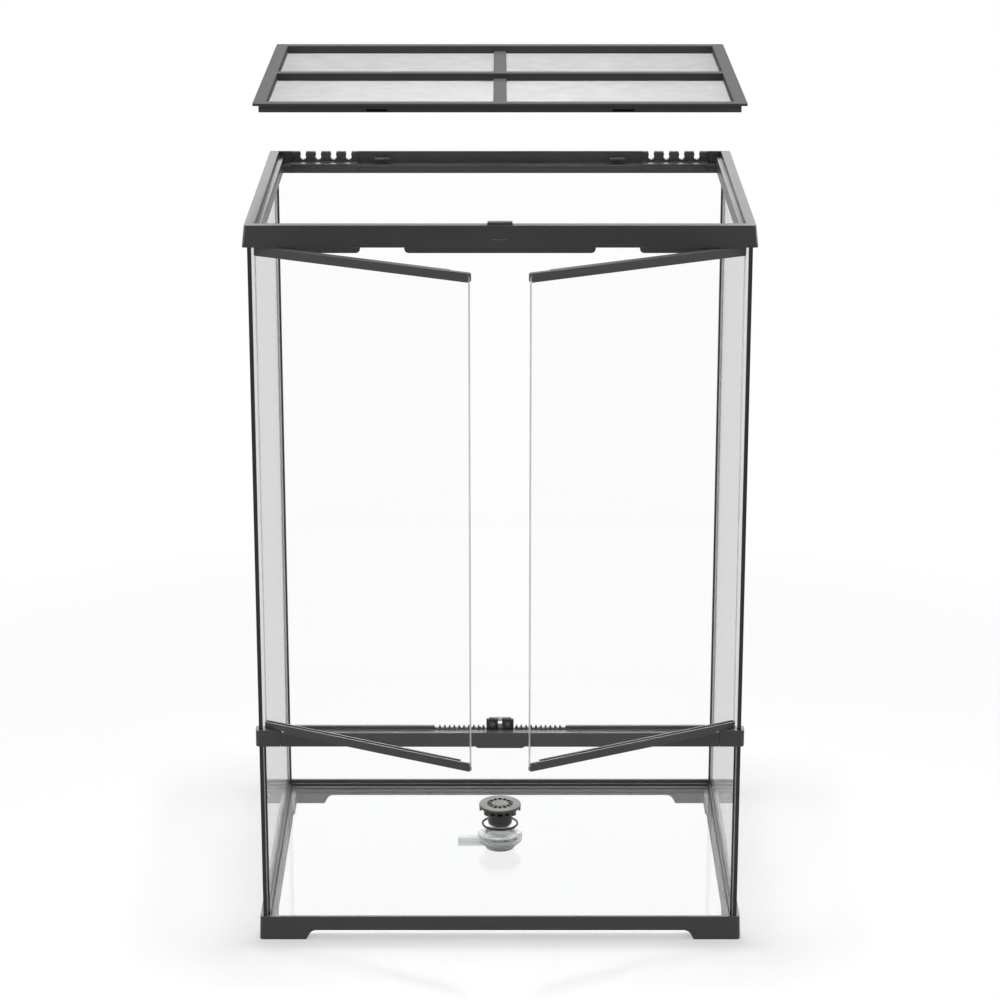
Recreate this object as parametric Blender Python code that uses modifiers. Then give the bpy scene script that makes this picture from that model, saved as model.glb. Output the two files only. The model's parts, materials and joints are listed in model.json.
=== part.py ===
# A front-opening glass paludarium: a tall tank with two hinged glass doors above a water section,
# a lift-off screen lid and a drain in its floor.
# Units are metres, +Z is up, and the doors face -Y. The doors stand ajar, and the lid, the drain
# strainer and its sealing ring are lifted off their seats.

import math

import bmesh
import bpy
from mathutils import Matrix, Vector

# Whole tank
glass_length = 0.600  # outside, along X
glass_depth = 0.446  # outside, along Y
tank_height = 0.925  # floor to the top of the rim
pane = 0.005
fit = 0.0003  # clearance between pieces that touch
tank_centre_y = 0.063  # puts the origin under the middle of the tank with its doors ajar

# Base frame
base_height = 0.0314
base_wall = 0.004
base_flare = 0.001
base_corner = 0.004
base_ledge_width = 0.015  # from the outer face of the glass inwards
base_ledge_top = 0.019
base_skin = 0.003
base_rib_pitch = 0.040
base_rib = 0.002
foot_length = 0.059
arch_height = 0.0125
arch_slope = 0.007
arch_round = 0.0055

# Seals and edge trims
floor_bead = 0.0035
corner_bead = 0.0027
trim_depth = 0.001
trim_margin = 0.0001  # keeps each trim inside the width of the glass edge

# Top rim
rim_height = 0.0263
rim_wall = 0.0032
rim_flare = 0.0028
rim_corner = 0.003
rim_side_top = 0.0117
rim_front_top = 0.012
rim_rear_top = 0.0028
side_glass_in_rim = 0.0193
rear_glass_in_rim = 0.0073
lid_recess_depth = 0.0075
lid_ledge_width = 0.006
rear_ledge_drop = 0.0158
rear_ledge_depth = 0.015
rim_groove_width = 0.0033
rim_groove_depth = 0.0143
front_groove_width = 0.0085
front_groove_depth = 0.0158
front_groove_wall = 0.0055
front_groove_start = 0.022
stop_drop = 0.0107
stop_thickness = 0.003
stop_centre_half = 0.114
stop_side_start = 0.1665
stop_to_hinge = 0.0155
stop_corner = 0.005
pad_width = 0.019
pad_height = 0.0135
pad_drop = 0.0034
pad_depth = 0.0006
tab_x = 0.155
tab_width = 0.020
tab_reach = 0.0098
tab_thickness = 0.002
tab_drop = 0.0078

# Tube inlets in the rim's rear wall, and the sliders that close them
keyhole_count = 4
keyhole_pitch = 0.020
keyhole_inset = 0.0405  # from the outer face of the side glass to the last keyhole's centre
keyhole_radius = 0.00385
keyhole_drop = 0.007
keyhole_neck = 0.005
keyhole_mouth = 0.008
slider_plate = 0.0025
slider_foot = 0.0018
slider_apron = 0.0022
slider_apron_drop = 0.0087
slider_end = 0.0140  # from the last keyhole's centre to the slider's outer end
slider_start = 0.0115  # from the first keyhole's centre to its inner end
slider_top_drop = 0.0003
grip_rib = 0.0014
grip_rib_height = 0.0055
grip_rib_depth = 0.0006

# Lid latch
latch_width = 0.0305
latch_thickness = 0.003
latch_depth = 0.0098
latch_setback = 0.0018
latch_stem_width = 0.014
latch_stem_depth = 0.003
latch_stem_drop = 0.0085
latch_travel = 0.005

# Lid
lid_raise = 0.147
lid_clearance = 0.001
lid_flange = 0.003
lid_overhang = 0.0065
lid_skirt = 0.0086
lid_rail = 0.015
lid_rib = 0.014
lid_bar = 0.016
lid_bar_thickness = 0.0025
lid_corner = 0.002
lid_slider_gap = 0.0009
lid_rear_gap = 0.0074
lid_slot_x = 0.145
lid_slot_width = 0.025
lid_slot_height = 0.0025
lid_slot_depth = 0.0025
lid_slot_rise = 0.0012
mesh_thickness = 0.0008
mesh_rebate_depth = 0.0024
mesh_rebate_wall = 0.003

# Middle rail
mid_rail_top = 0.2814
mid_rail_height = 0.0186
mid_rail_wall = 0.004
mid_rail_depth = 0.017
front_glass_in_rail = 0.0092
front_ledge = 0.012
low_lip_height = 0.0017
lip_height = 0.0046
lip_to_hinge = 0.0195
lip_round = 0.002
comb_half = 0.080
comb_pitch = 0.006
comb_tooth = 0.0032
comb_tooth_tip = 0.0018
apron_half = 0.033
apron_drop = 0.002
apron_chamfer = 0.005
rail_end_step = 0.0028
hinge_wall = 0.0045

# Doors
open_angle = math.radians(28.2)
hinge_inset = 0.0225  # from the outer face of the side glass to the hinge axis
door_outboard = 0.0162
door_gap = 0.005  # between the two doors when they are shut
door_setback = 0.0015
door_pane = 0.004
door_rail_thickness = 0.009
top_rail_height = 0.011
bottom_rail_height = 0.0105
door_bottom_gap = 0.0005
door_top_gap = 0.0012
door_channel_floor = 0.0051
door_corner = 0.003
pin_radius = 0.002
pin_in_frame = 0.009
pin_in_rail = 0.0048
hinge_relief = 0.012
end_cap_length = 0.003
striker_rebate = 0.0024
striker_thickness = 0.001
striker_height = 0.009
striker_margin = 0.0015
top_rebate_length = 0.028
top_rebate_width = 0.0028
top_rebate_depth = 0.0018

# Door catches on the middle rail, and the button above them
catch_outer = 0.017
catch_height = 0.014
catch_depth = 0.0038
catch_corner = 0.0008
catch_to_striker = 0.0006
magnet_radius = 0.0036
magnet_thickness = 0.0025
bracket_half = 0.014
bracket_thickness = 0.002
bracket_height = 0.0095
bracket_window_half = 0.00315
bracket_window_height = 0.0036
button_wall = 0.0008
button_height = 0.006
button_travel = 0.003
button_groove_pitch = 0.0028
button_groove_width = 0.0012
button_groove_depth = 0.0004
latch_margin = 0.001

# Drain
drain_y = 0.055
flange_radius = 0.030
flange_thickness = 0.0025
gasket_thickness = 0.001
gasket_radius = 0.029
neck_bore = 0.0181
neck_wall = 0.0018
neck_bottom = 0.012
drain_hole_margin = 0.0005
nut_across_flats = 0.042
nut_thickness = 0.0042
ring_radius = 0.0234
ring_section = 0.0014
ring_groove_depth = 0.001
ring_lift = 0.0088
cup_radius = 0.030
cup_wall = 0.003
cup_floor = 0.0021
cup_chamfer = 0.0015
chamber_radius = 0.023
chamber_bore = 0.0184
chamber_bottom = 0.003
chamber_floor = 0.0014
chamber_foot_radius = 0.020
chamber_taper_height = 0.005
seat_ring_inner = 0.013
seat_ring_wall = 0.0018
seat_ring_height = 0.004
hose_pipe_radius = 0.00685
hose_pipe_bore = 0.0043
hose_pipe_reach = 0.057
hose_pipe_height = 0.0105

# Drain strainer
strainer_lift = 0.0283
cap_radius = 0.02815
cap_thickness = 0.004
cap_edge = 0.0008
cap_boss_radius = 0.0098
cap_boss_height = 0.0008
barrel_radius = 0.0176
barrel_collar = 0.0112
barrel_step = 0.0016
barrel_wall = 0.0016
barrel_length = 0.025
barrel_chamfer = 0.001
slot_count = 14
slot_inner = 0.0114
slot_outer = 0.0174
slot_inner_width = 0.0038
slot_outer_width = 0.0054
window_count = 10
window_width = 0.0072
window_height = 0.0078
window_drop = 0.0008
foot_tab_angles = (0, 45, 135, 180, 225, 315)
foot_tab_height = 0.006
foot_tab_width = 0.006
foot_tab_thickness = 0.0026
foot_tab_margin = 0.0005

# Facets
round_steps = 28
ring_steps = 40
pin_steps = 16
sharp_angle = math.radians(35)

# Places worked out from the sizes
half_x = glass_length / 2
half_y = glass_depth / 2
inner_x = half_x - pane
inner_y = half_y - pane
floor_glass_bottom = base_ledge_top + fit
floor_glass_top = floor_glass_bottom + pane
bead_top = floor_glass_top + fit + floor_bead
rim_bottom = tank_height - rim_height
rim_top_x = half_x + rim_wall
rim_top_y = half_y + rim_wall
lid_ledge_top = tank_height - lid_recess_depth
recess_x = rim_top_x - rim_side_top
recess_front = -rim_top_y + rim_front_top
recess_rear = rim_top_y - rim_rear_top
mouth_x = recess_x - lid_ledge_width
mouth_front = recess_front + lid_ledge_width
mouth_rear = recess_rear - rear_ledge_depth
rear_ledge_top = tank_height - rear_ledge_drop
keyhole_start = half_x - keyhole_inset - (keyhole_count - 1) * keyhole_pitch
mid_rail_bottom = mid_rail_top - mid_rail_height
mid_rail_front = -half_y - mid_rail_wall
mid_rail_back = mid_rail_front + mid_rail_depth
lip_front = mid_rail_front + front_ledge
rail_end_top = mid_rail_top + rail_end_step
hinge_x = half_x - hinge_inset
hinge_y = mid_rail_front + door_setback + door_rail_thickness / 2
rail_end_inner = hinge_x - hinge_wall
lip_end = hinge_x - lip_to_hinge
latch_half = catch_outer + latch_margin
door_reach = hinge_x - door_gap / 2
door_bottom = mid_rail_top + door_bottom_gap
door_top = rim_bottom - door_top_gap
channel_bottom = door_bottom + door_channel_floor
channel_top = door_top - door_channel_floor
lid_x = recess_x - lid_clearance
lid_front = recess_front + lid_clearance
lid_rear = recess_rear - lid_rear_gap
lid_base = lid_ledge_top + fit + lid_raise  # underside of the lid's flange
lid_top = lid_base + lid_flange
lid_bottom = lid_base - lid_skirt
apron_front = mouth_rear - fit - slider_apron
flange_bottom = floor_glass_top + 2 * fit + gasket_thickness
flange_top = flange_bottom + flange_thickness
neck_radius = neck_bore + neck_wall
drain_hole = neck_radius + drain_hole_margin
nut_top = floor_glass_bottom - fit
nut_bottom = nut_top - nut_thickness


def clear_scene():
    for obj in list(bpy.data.objects):
        bpy.data.objects.remove(obj, do_unlink=True)


def collection(name):
    made = bpy.data.collections.new(name)
    bpy.context.scene.collection.children.link(made)
    return made


def finish(name, colour, roughness, metallic=0.0, alpha=1.0):
    made = bpy.data.materials.new(name)
    made.use_nodes = True
    shader = made.node_tree.nodes["Principled BSDF"]
    shader.inputs["Base Color"].default_value = (*colour, 1.0)
    shader.inputs["Roughness"].default_value = roughness
    shader.inputs["Metallic"].default_value = metallic
    shader.inputs["Alpha"].default_value = alpha
    made.diffuse_color = (*colour, alpha)
    return made


def empty(name, location, parent=None, turn=0.0):
    made = bpy.data.objects.new(name, None)
    made.empty_display_size = 0.05
    made.location = location
    made.rotation_euler = (0, 0, turn)
    made.parent = parent
    scene_parts.objects.link(made)
    return made


def place(name, bm, parent, look=None, origin=(0, 0, 0)):
    """Makes an object of the shape, with its origin at the given point of its parent's frame."""
    origin = Vector(origin)
    bmesh.ops.translate(bm, verts=bm.verts, vec=-origin)
    mesh = bpy.data.meshes.new(name)
    bm.to_mesh(mesh)
    bm.free()
    made = bpy.data.objects.new(name, mesh)
    made.location = origin
    made.parent = parent
    if look is None:
        made.hide_render = True
        made.display_type = "WIRE"
        scene_cutters.objects.link(made)
    else:
        mesh.materials.append(look)
        scene_parts.objects.link(made)
    return made


def boolean(target, operation, other):
    step = target.modifiers.new(f"{operation.lower()} {other.name}", "BOOLEAN")
    step.operation = operation
    step.solver = "EXACT"
    step.object = other


def cut(target, *others):
    for other in others:
        boolean(target, "DIFFERENCE", other)


def join(target, *others):
    for other in others:
        boolean(target, "UNION", other)


def box(bm, x, y, z):
    """Adds the box between three pairs of limits, and returns its vertices."""
    low = Vector((min(x), min(y), min(z)))
    high = Vector((max(x), max(y), max(z)))
    where = Matrix.Translation((low + high) / 2) @ Matrix.Diagonal((*(high - low), 1))
    return bmesh.ops.create_cube(bm, size=1, matrix=where)["verts"]


def boxes(*limits):
    bm = bmesh.new()
    for x, y, z in limits:
        box(bm, x, y, z)
    return bm


def rod(bm, centre, radius, length, axis="Z", steps=pin_steps):
    turn = {
        "X": Matrix.Rotation(math.pi / 2, 4, "Y"),
        "Y": Matrix.Rotation(math.pi / 2, 4, "X"),
        "Z": Matrix.Identity(4),
    }[axis]
    bmesh.ops.create_cone(
        bm,
        cap_ends=True,
        segments=steps,
        radius1=radius,
        radius2=radius,
        depth=length,
        matrix=Matrix.Translation(centre) @ turn,
    )


def radial_box(bm, angle, near, far, width, z, far_width=None):
    """Adds a box that points away from the Z axis at the given angle in degrees."""
    made = box(bm, (near, far), (-width / 2, width / 2), z)
    if far_width:
        for v in made:
            if v.co.x > near:
                v.co.y = math.copysign(far_width / 2, v.co.y)
    turn = Matrix.Rotation(math.radians(angle), 3, "Z")
    bmesh.ops.rotate(bm, verts=made, cent=(0, 0, 0), matrix=turn)


def widen(verts, at_bottom, amount_x, amount_y=0.0):
    """Moves the bottom or top corners of a box outwards, or inwards where the amount is negative."""
    middle = sum((v.co for v in verts), Vector()) / len(verts)
    for v in verts:
        if (v.co.z < middle.z) == at_bottom:
            v.co.x += amount_x * math.copysign(1.0, v.co.x - middle.x)
            v.co.y += amount_y * math.copysign(1.0, v.co.y - middle.y)


def round_upright_edges(bm, verts, radius, choose=lambda point: True):
    """Rounds those upright edges of a box whose middles are chosen."""
    chosen = []
    for edge in {e for v in verts for e in v.link_edges}:
        low, high = edge.verts
        upright = abs(low.co.z - high.co.z) > (low.co.xy - high.co.xy).length * 2
        if upright and choose((low.co + high.co) / 2):
            chosen.append(edge)
    bmesh.ops.bevel(bm, geom=chosen, offset=radius, segments=3, profile=0.5, affect="EDGES")


def round_lower_ends(bm, verts, radius):
    """Rounds the two bottom edges of a box that run along Y."""
    bottom = min(v.co.z for v in verts)
    chosen = []
    for edge in {e for v in verts for e in v.link_edges}:
        along_y = abs(edge.verts[0].co.y - edge.verts[1].co.y) > radius * 0.1
        if along_y and all(abs(v.co.z - bottom) < radius * 0.1 for v in edge.verts):
            chosen.append(edge)
    bmesh.ops.bevel(bm, geom=chosen, offset=radius, segments=3, profile=0.5, affect="EDGES")


def smooth(obj):
    obj.data.shade_smooth()
    obj.data.set_sharp_from_angle(angle=sharp_angle)


def turned(name, profile, parent, look, origin):
    """Turns a profile of (radius, height) points round the Z axis through the origin.

    A profile that doesn't start and end on the axis is closed into a ring.
    """
    bm = bmesh.new()
    points = [bm.verts.new((radius, 0, height)) for radius, height in profile]
    for start, end in zip(points, points[1:]):
        bm.edges.new((start, end))
    if profile[0][0] > 0:
        bm.edges.new((points[-1], points[0]))
    made = place(name, bm, parent, look)
    made.location = origin
    screw = made.modifiers.new("turn", "SCREW")
    screw.steps = round_steps
    screw.render_steps = round_steps
    screw.use_merge_vertices = True
    screw.merge_threshold = 0.00001
    bpy.context.view_layer.update()
    graph = bpy.context.evaluated_depsgraph_get()
    outline = made.data
    made.data = bpy.data.meshes.new_from_object(made.evaluated_get(graph))
    made.modifiers.remove(screw)
    bpy.data.meshes.remove(outline)
    made.data.name = name
    smooth(made)
    return made


def make_base_frame():
    bm = bmesh.new()
    outer_x, outer_y = half_x + base_wall, half_y + base_wall
    shell = box(bm, (-outer_x, outer_x), (-outer_y, outer_y), (0, base_height))
    widen(shell, True, base_flare, base_flare)
    round_upright_edges(bm, shell, base_corner)
    frame = place("base_frame", bm, tank, dark_plastic)

    well_x, well_y = half_x + fit, half_y + fit
    ledge_x, ledge_y = half_x - base_ledge_width, half_y - base_ledge_width
    above = base_height + base_wall
    well = boxes(((-well_x, well_x), (-well_y, well_y), (base_ledge_top, above)))
    opening = boxes(((-ledge_x, ledge_x), (-ledge_y, ledge_y), (-base_wall, above)))

    pockets = bmesh.new()
    pocket_z = (-base_wall, base_ledge_top - base_skin)
    outside_x, outside_y = outer_x - base_skin, outer_y - base_skin
    inside_x, inside_y = ledge_x + base_skin, ledge_y + base_skin
    for low, high in rib_bays(ledge_x):
        for side in (-1, 1):
            box(pockets, (low, high), (side * inside_y, side * outside_y), pocket_z)
    for low, high in rib_bays(ledge_y):
        for side in (-1, 1):
            box(pockets, (side * inside_x, side * outside_x), (low, high), pocket_z)

    across, along = bmesh.new(), bmesh.new()
    over = base_flare + base_wall
    arch(across, outer_x + base_flare - foot_length, outer_y + over, "X")
    arch(along, outer_y + base_flare - foot_length, outer_x + over, "Y")
    cut(
        frame,
        place("cut_base_well", well, tank),
        place("cut_base_opening", opening, tank),
        place("cut_base_pockets", pockets, tank),
        place("cut_base_front_arch", across, tank),
        place("cut_base_side_arch", along, tank),
    )


def rib_bays(half):
    """Splits the length between the corners of the base into bays with a rib between each two."""
    count = round(2 * half / base_rib_pitch)
    bay = 2 * half / count
    return [
        (-half + n * bay + base_rib / 2, -half + (n + 1) * bay - base_rib / 2)
        for n in range(count)
    ]


def arch(bm, half, reach, axis):
    """Adds the wide low arch that leaves a foot at each end of a side of the base."""
    verts = box(bm, (-half, half), (-reach, reach), (-arch_height, arch_height))
    for v in verts:
        if v.co.z > 0:
            v.co.x -= math.copysign(arch_slope, v.co.x)
        else:
            v.co.x += math.copysign(arch_slope, v.co.x)
    crown = [
        e
        for e in bm.edges
        if all(v.co.z > 0 for v in e.verts) and abs(e.verts[0].co.x - e.verts[1].co.x) < fit
    ]
    bmesh.ops.bevel(bm, geom=crown, offset=arch_round, segments=3, profile=0.5, affect="EDGES")
    if axis == "Y":
        turn = Matrix.Rotation(math.pi / 2, 3, "Z")
        bmesh.ops.rotate(bm, verts=bm.verts, cent=(0, 0, 0), matrix=turn)


def make_glass():
    edge_x, edge_y = inner_x - fit, inner_y - fit
    floor = boxes(((-edge_x, edge_x), (-edge_y, edge_y), (floor_glass_bottom, floor_glass_top)))
    floor_pane = place("bottom_glass", floor, tank, clear_glass)
    hole = bmesh.new()
    middle = (floor_glass_bottom + floor_glass_top) / 2
    rod(hole, (0, drain_y, middle), drain_hole, 3 * pane, steps=round_steps)
    cut(floor_pane, place("cut_drain_hole", hole, tank))

    side_top = rim_bottom + side_glass_in_rim
    rear_top = rim_bottom + rear_glass_in_rim
    front_top = mid_rail_bottom + front_glass_in_rail
    for name, side in (("left", -1), ("right", 1)):
        limits = ((side * inner_x, side * half_x), (-half_y, half_y), (floor_glass_bottom, side_top))
        place(f"{name}_side_glass", boxes(limits), tank, clear_glass)
    rear = boxes(((-edge_x, edge_x), (inner_y, half_y), (floor_glass_bottom, rear_top)))
    place("rear_glass", rear, tank, clear_glass)
    front = boxes(((-edge_x, edge_x), (-half_y, -inner_y), (floor_glass_bottom, front_top)))
    place("front_lower_glass", front, tank, clear_glass)


def make_seals():
    edge_x, edge_y = inner_x - fit, inner_y - fit
    foot = floor_glass_top + fit
    ring = place(
        "floor_seal", boxes(((-edge_x, edge_x), (-edge_y, edge_y), (foot, bead_top))), tank, black_seal
    )
    bm = bmesh.new()
    hollow_x, hollow_y = edge_x - floor_bead, edge_y - floor_bead
    slope = 0.6 * floor_bead
    hollow = box(bm, (-hollow_x, hollow_x), (-hollow_y, hollow_y), (foot - slope, bead_top + slope))
    widen(hollow, False, slope, slope)
    cut(ring, place("cut_floor_seal", bm, tank))

    rear_z = (bead_top + fit, rim_bottom - fit)
    front_z = (bead_top + fit, mid_rail_bottom - fit)
    for name, side in (("left", -1), ("right", 1)):
        beads = (("rear", 1, rear_z), ("front", -1, front_z))
        for where, depth, z in beads:
            bm = bmesh.new()
            x = (side * (edge_x - corner_bead), side * edge_x)
            y = (depth * (edge_y - corner_bead), depth * edge_y)
            bead = box(bm, x, y, z)
            corner = Vector((x[0], y[0]))
            near = fit
            round_upright_edges(
                bm, bead, 0.6 * corner_bead, lambda p, c=corner, n=near: (p.xy - c).length < n
            )
            place(f"{where}_{name}_seal", bm, tank, black_seal)

        x = (side * (inner_x + trim_margin), side * (half_x - trim_margin))
        y = (-half_y - fit, -half_y - fit - trim_depth)
        lower = (base_height + fit, mid_rail_bottom - fit)
        upper = (rail_end_top + fit, rim_bottom - fit)
        place(f"{name}_lower_edge_trim", boxes((x, y, lower)), tank, black_seal)
        place(f"{name}_upper_edge_trim", boxes((x, y, upper)), tank, black_seal)


def keyhole_cutters():
    """Returns the round holes and the necks that open them to the top of the rim, as two cutters."""
    holes, necks = bmesh.new(), bmesh.new()
    centre_y = rim_top_y
    reach = 4 * (rim_rear_top + rim_flare + slider_plate)
    centre_z = tank_height - keyhole_drop
    for side in (-1, 1):
        for n in range(keyhole_count):
            x = side * (keyhole_start + n * keyhole_pitch)
            rod(holes, (x, centre_y, centre_z), keyhole_radius, reach, "Y")
            half = keyhole_neck / 2
            top = tank_height + keyhole_drop
            neck = box(
                necks,
                (x - half, x + half),
                (centre_y - reach / 2, centre_y + reach / 2),
                (centre_z, top),
            )
            rise = (top - centre_z) / (tank_height - centre_z)
            widen(neck, False, rise * (keyhole_mouth - keyhole_neck) / 2)
    return place("cut_keyholes", holes, tank), place("cut_keyhole_necks", necks, tank)


def make_top_rim(keyholes, necks):
    bm = bmesh.new()
    shell = box(bm, (-rim_top_x, rim_top_x), (-rim_top_y, rim_top_y), (rim_bottom, tank_height))
    widen(shell, True, rim_flare, rim_flare)
    round_upright_edges(bm, shell, rim_corner)
    rim = place("top_rim", bm, tank, dark_plastic)

    stops = bmesh.new()
    stop_end = hinge_x - stop_to_hinge
    stop_y = (mouth_front - stop_thickness, mouth_front + stop_thickness)
    stop_z = (rim_bottom - stop_drop, rim_bottom + stop_thickness)
    for x in (
        (-stop_centre_half, stop_centre_half),
        (-stop_end, -stop_side_start),
        (stop_side_start, stop_end),
    ):
        round_lower_ends(stops, box(stops, x, stop_y, stop_z), stop_corner)
    join(rim, place("join_door_stops", stops, tank))

    above = tank_height + rim_height
    below = rim_bottom - rim_height
    recess = boxes(((-recess_x, recess_x), (recess_front, recess_rear), (lid_ledge_top, above)))
    deep = boxes(((-mouth_x, mouth_x), (mouth_rear - fit, recess_rear), (rear_ledge_top, above)))
    mouth = boxes(((-mouth_x, mouth_x), (mouth_front, mouth_rear), (below, above)))
    slot_x = (inner_x - fit, half_x + fit)
    side_slots, grooves = bmesh.new(), bmesh.new()
    for side in (-1, 1):
        x = [side * value for value in slot_x]
        top = rim_bottom + side_glass_in_rim + fit
        box(side_slots, x, (-half_y - fit, half_y + fit), (below, top))
        middle = (mouth_x + inner_x) / 2
        x = [side * (middle + half * rim_groove_width / 2) for half in (-1, 1)]
        box(grooves, x, (mouth_front, mouth_rear), (below, rim_bottom + rim_groove_depth))
        x = (side * front_groove_start, side * stop_end)
        y = (mouth_front - front_groove_wall + fit, mouth_front - front_groove_wall - front_groove_width)
        box(grooves, x, y, (below, rim_bottom + front_groove_depth))
    rear_slot = boxes(
        (
            (-inner_x, inner_x),
            (inner_y - fit, half_y + fit),
            (below, rim_bottom + rear_glass_in_rim + fit),
        )
    )
    pins = bmesh.new()
    for side in (-1, 1):
        rod(pins, (side * hinge_x, hinge_y, rim_bottom), pin_radius + fit, 2 * (pin_in_frame + fit))
    pad_top = tank_height - pad_drop
    middle_z = pad_top - pad_height / 2
    share = (tank_height - middle_z) / rim_height
    face = -rim_top_y - rim_flare * share
    pad = bmesh.new()
    box(
        pad,
        (-pad_width / 2, pad_width / 2),
        (face - rim_height, face + pad_depth),
        (pad_top - pad_height, pad_top),
    )
    slot_y = latch_slot_limits()
    half_slot = latch_stem_width / 2 + fit
    latch_slot = boxes(
        ((-half_slot, half_slot), slot_y, (tank_height - latch_stem_drop - 2 * fit, above))
    )
    cut(
        rim,
        place("cut_lid_recess", recess, tank),
        place("cut_rear_ledge", deep, tank),
        place("cut_rim_mouth", mouth, tank),
        place("cut_side_glass_slots", side_slots, tank),
        place("cut_rear_glass_slot", rear_slot, tank),
        place("cut_rim_grooves", grooves, tank),
        place("cut_rim_pin_holes", pins, tank),
        place("cut_rim_pad", pad, tank),
        place("cut_lid_latch_slot", latch_slot, tank),
        keyholes,
        necks,
    )
    tabs = bmesh.new()
    tab_top = tank_height - tab_drop
    for side in (-1, 1):
        x = (side * tab_x - tab_width / 2, side * tab_x + tab_width / 2)
        y = (recess_rear - tab_reach, recess_rear + rim_rear_top / 2)
        box(tabs, x, y, (tab_top - tab_thickness, tab_top))
    join(rim, place("join_lid_tabs", tabs, tank))


def latch_slot_limits():
    front = -rim_top_y + latch_setback
    return front - fit, front + latch_stem_depth + latch_travel + fit


def make_lid_latch():
    front = -rim_top_y + latch_setback
    base = tank_height + fit
    bm = bmesh.new()
    half = latch_width / 2
    bar = box(bm, (-half, half), (front, front + latch_depth), (base, base + latch_thickness))
    widen(bar, False, -0.2 * latch_thickness, -0.2 * latch_thickness)
    origin = (0, front, base)
    latch = place("lid_latch", bm, tank, dark_plastic, origin)
    stem = bmesh.new()
    half = latch_stem_width / 2
    reach = (front, front + latch_stem_depth)
    depth = (tank_height - latch_stem_drop, base + latch_thickness / 2)
    box(stem, (-half, half), reach, depth)
    join(latch, place("join_lid_latch_stem", stem, tank))


def make_inlet_sliders(keyholes, necks):
    rear = recess_rear - fit
    foot = rear_ledge_top + fit
    top = tank_height - slider_top_drop
    first = keyhole_start - slider_start
    last = keyhole_start + (keyhole_count - 1) * keyhole_pitch + slider_end
    bottom = rear_ledge_top - slider_apron_drop
    for name, side in (("left", -1), ("right", 1)):
        x = (side * first, side * last)
        origin = (side * (first + last) / 2, rear, foot)
        body = boxes((x, (apron_front, rear), (bottom, top)))
        slider = place(f"{name}_inlet_slider", body, tank, dark_plastic, origin)
        over = (side * (first - slider_plate), side * (last + slider_plate))
        hollow = boxes(
            (over, (apron_front - slider_plate, rear - slider_plate), (foot + slider_foot, top + foot)),
            (over, (apron_front + slider_apron, rear + slider_plate), (bottom - slider_foot, foot)),
        )
        cut(slider, place(f"cut_{name}_slider_profile", hollow, tank), keyholes, necks)
        ribs = bmesh.new()
        middle = (bottom + foot) / 2
        for n in range(keyhole_count):
            rib_x = side * (keyhole_start + (n - 0.5) * keyhole_pitch)
            box(
                ribs,
                (rib_x - grip_rib / 2, rib_x + grip_rib / 2),
                (apron_front - grip_rib_depth, apron_front + slider_apron / 2),
                (middle - grip_rib_height / 2, middle + grip_rib_height / 2),
            )
        join(slider, place(f"join_{name}_slider_grip", ribs, tank))


def make_lid():
    centre_y = (lid_front + lid_rear) / 2
    origin = (0, centre_y, lid_base)
    bm = bmesh.new()
    flange = box(bm, (-lid_x, lid_x), (lid_front, lid_rear), (lid_base, lid_top))
    round_upright_edges(bm, flange, lid_corner)
    frame = place("lid_frame", bm, tank, dark_plastic, origin)

    skirt_x = lid_x - lid_overhang
    skirt_front = lid_front + lid_overhang
    skirt_rear = apron_front - grip_rib_depth - lid_slider_gap
    bm = bmesh.new()
    skirt = box(
        bm, (-skirt_x, skirt_x), (skirt_front, skirt_rear), (lid_bottom, lid_base + lid_flange / 2)
    )
    round_upright_edges(bm, skirt, lid_corner)
    join(frame, place("join_lid_skirt", bm, tank))

    window_x = lid_x - lid_rail
    window_front, window_rear = lid_front + lid_rail, lid_rear - lid_rail
    rebate_top = lid_bottom + mesh_rebate_depth
    bar_top = rebate_top + lid_bar_thickness
    over = lid_flange
    rows = (
        (window_front, centre_y - lid_rib / 2),
        (centre_y + lid_rib / 2, window_rear),
    )
    upper, lower = bmesh.new(), bmesh.new()
    for y in rows:
        box(upper, (-window_x, window_x), y, (bar_top, lid_top + over))
        for side in (-1, 1):
            x = (side * lid_bar / 2, side * window_x)
            box(lower, x, y, (lid_bottom - over, bar_top + fit))
    rebate_x = skirt_x - mesh_rebate_wall
    rebate_y = (skirt_front + mesh_rebate_wall, skirt_rear - mesh_rebate_wall)
    rebate = boxes(((-rebate_x, rebate_x), rebate_y, (lid_bottom - over, rebate_top)))
    slots = bmesh.new()
    slot_low = lid_bottom + lid_slot_rise
    for side in (-1, 1):
        x = (side * lid_slot_x - lid_slot_width / 2, side * lid_slot_x + lid_slot_width / 2)
        y = (skirt_front - lid_slot_depth, skirt_front + lid_slot_depth)
        box(slots, x, y, (slot_low, slot_low + lid_slot_height))
    cut(
        frame,
        place("cut_lid_windows", upper, tank),
        place("cut_lid_panels", lower, tank),
        place("cut_mesh_rebate", rebate, tank),
        place("cut_lid_slots", slots, tank),
    )

    mesh_top = rebate_top - fit
    sheet = boxes(
        (
            (-rebate_x + fit, rebate_x - fit),
            (rebate_y[0] + fit, rebate_y[1] - fit),
            (mesh_top - mesh_thickness, mesh_top),
        )
    )
    place("lid_mesh", sheet, tank, bright_mesh, origin)


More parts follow.
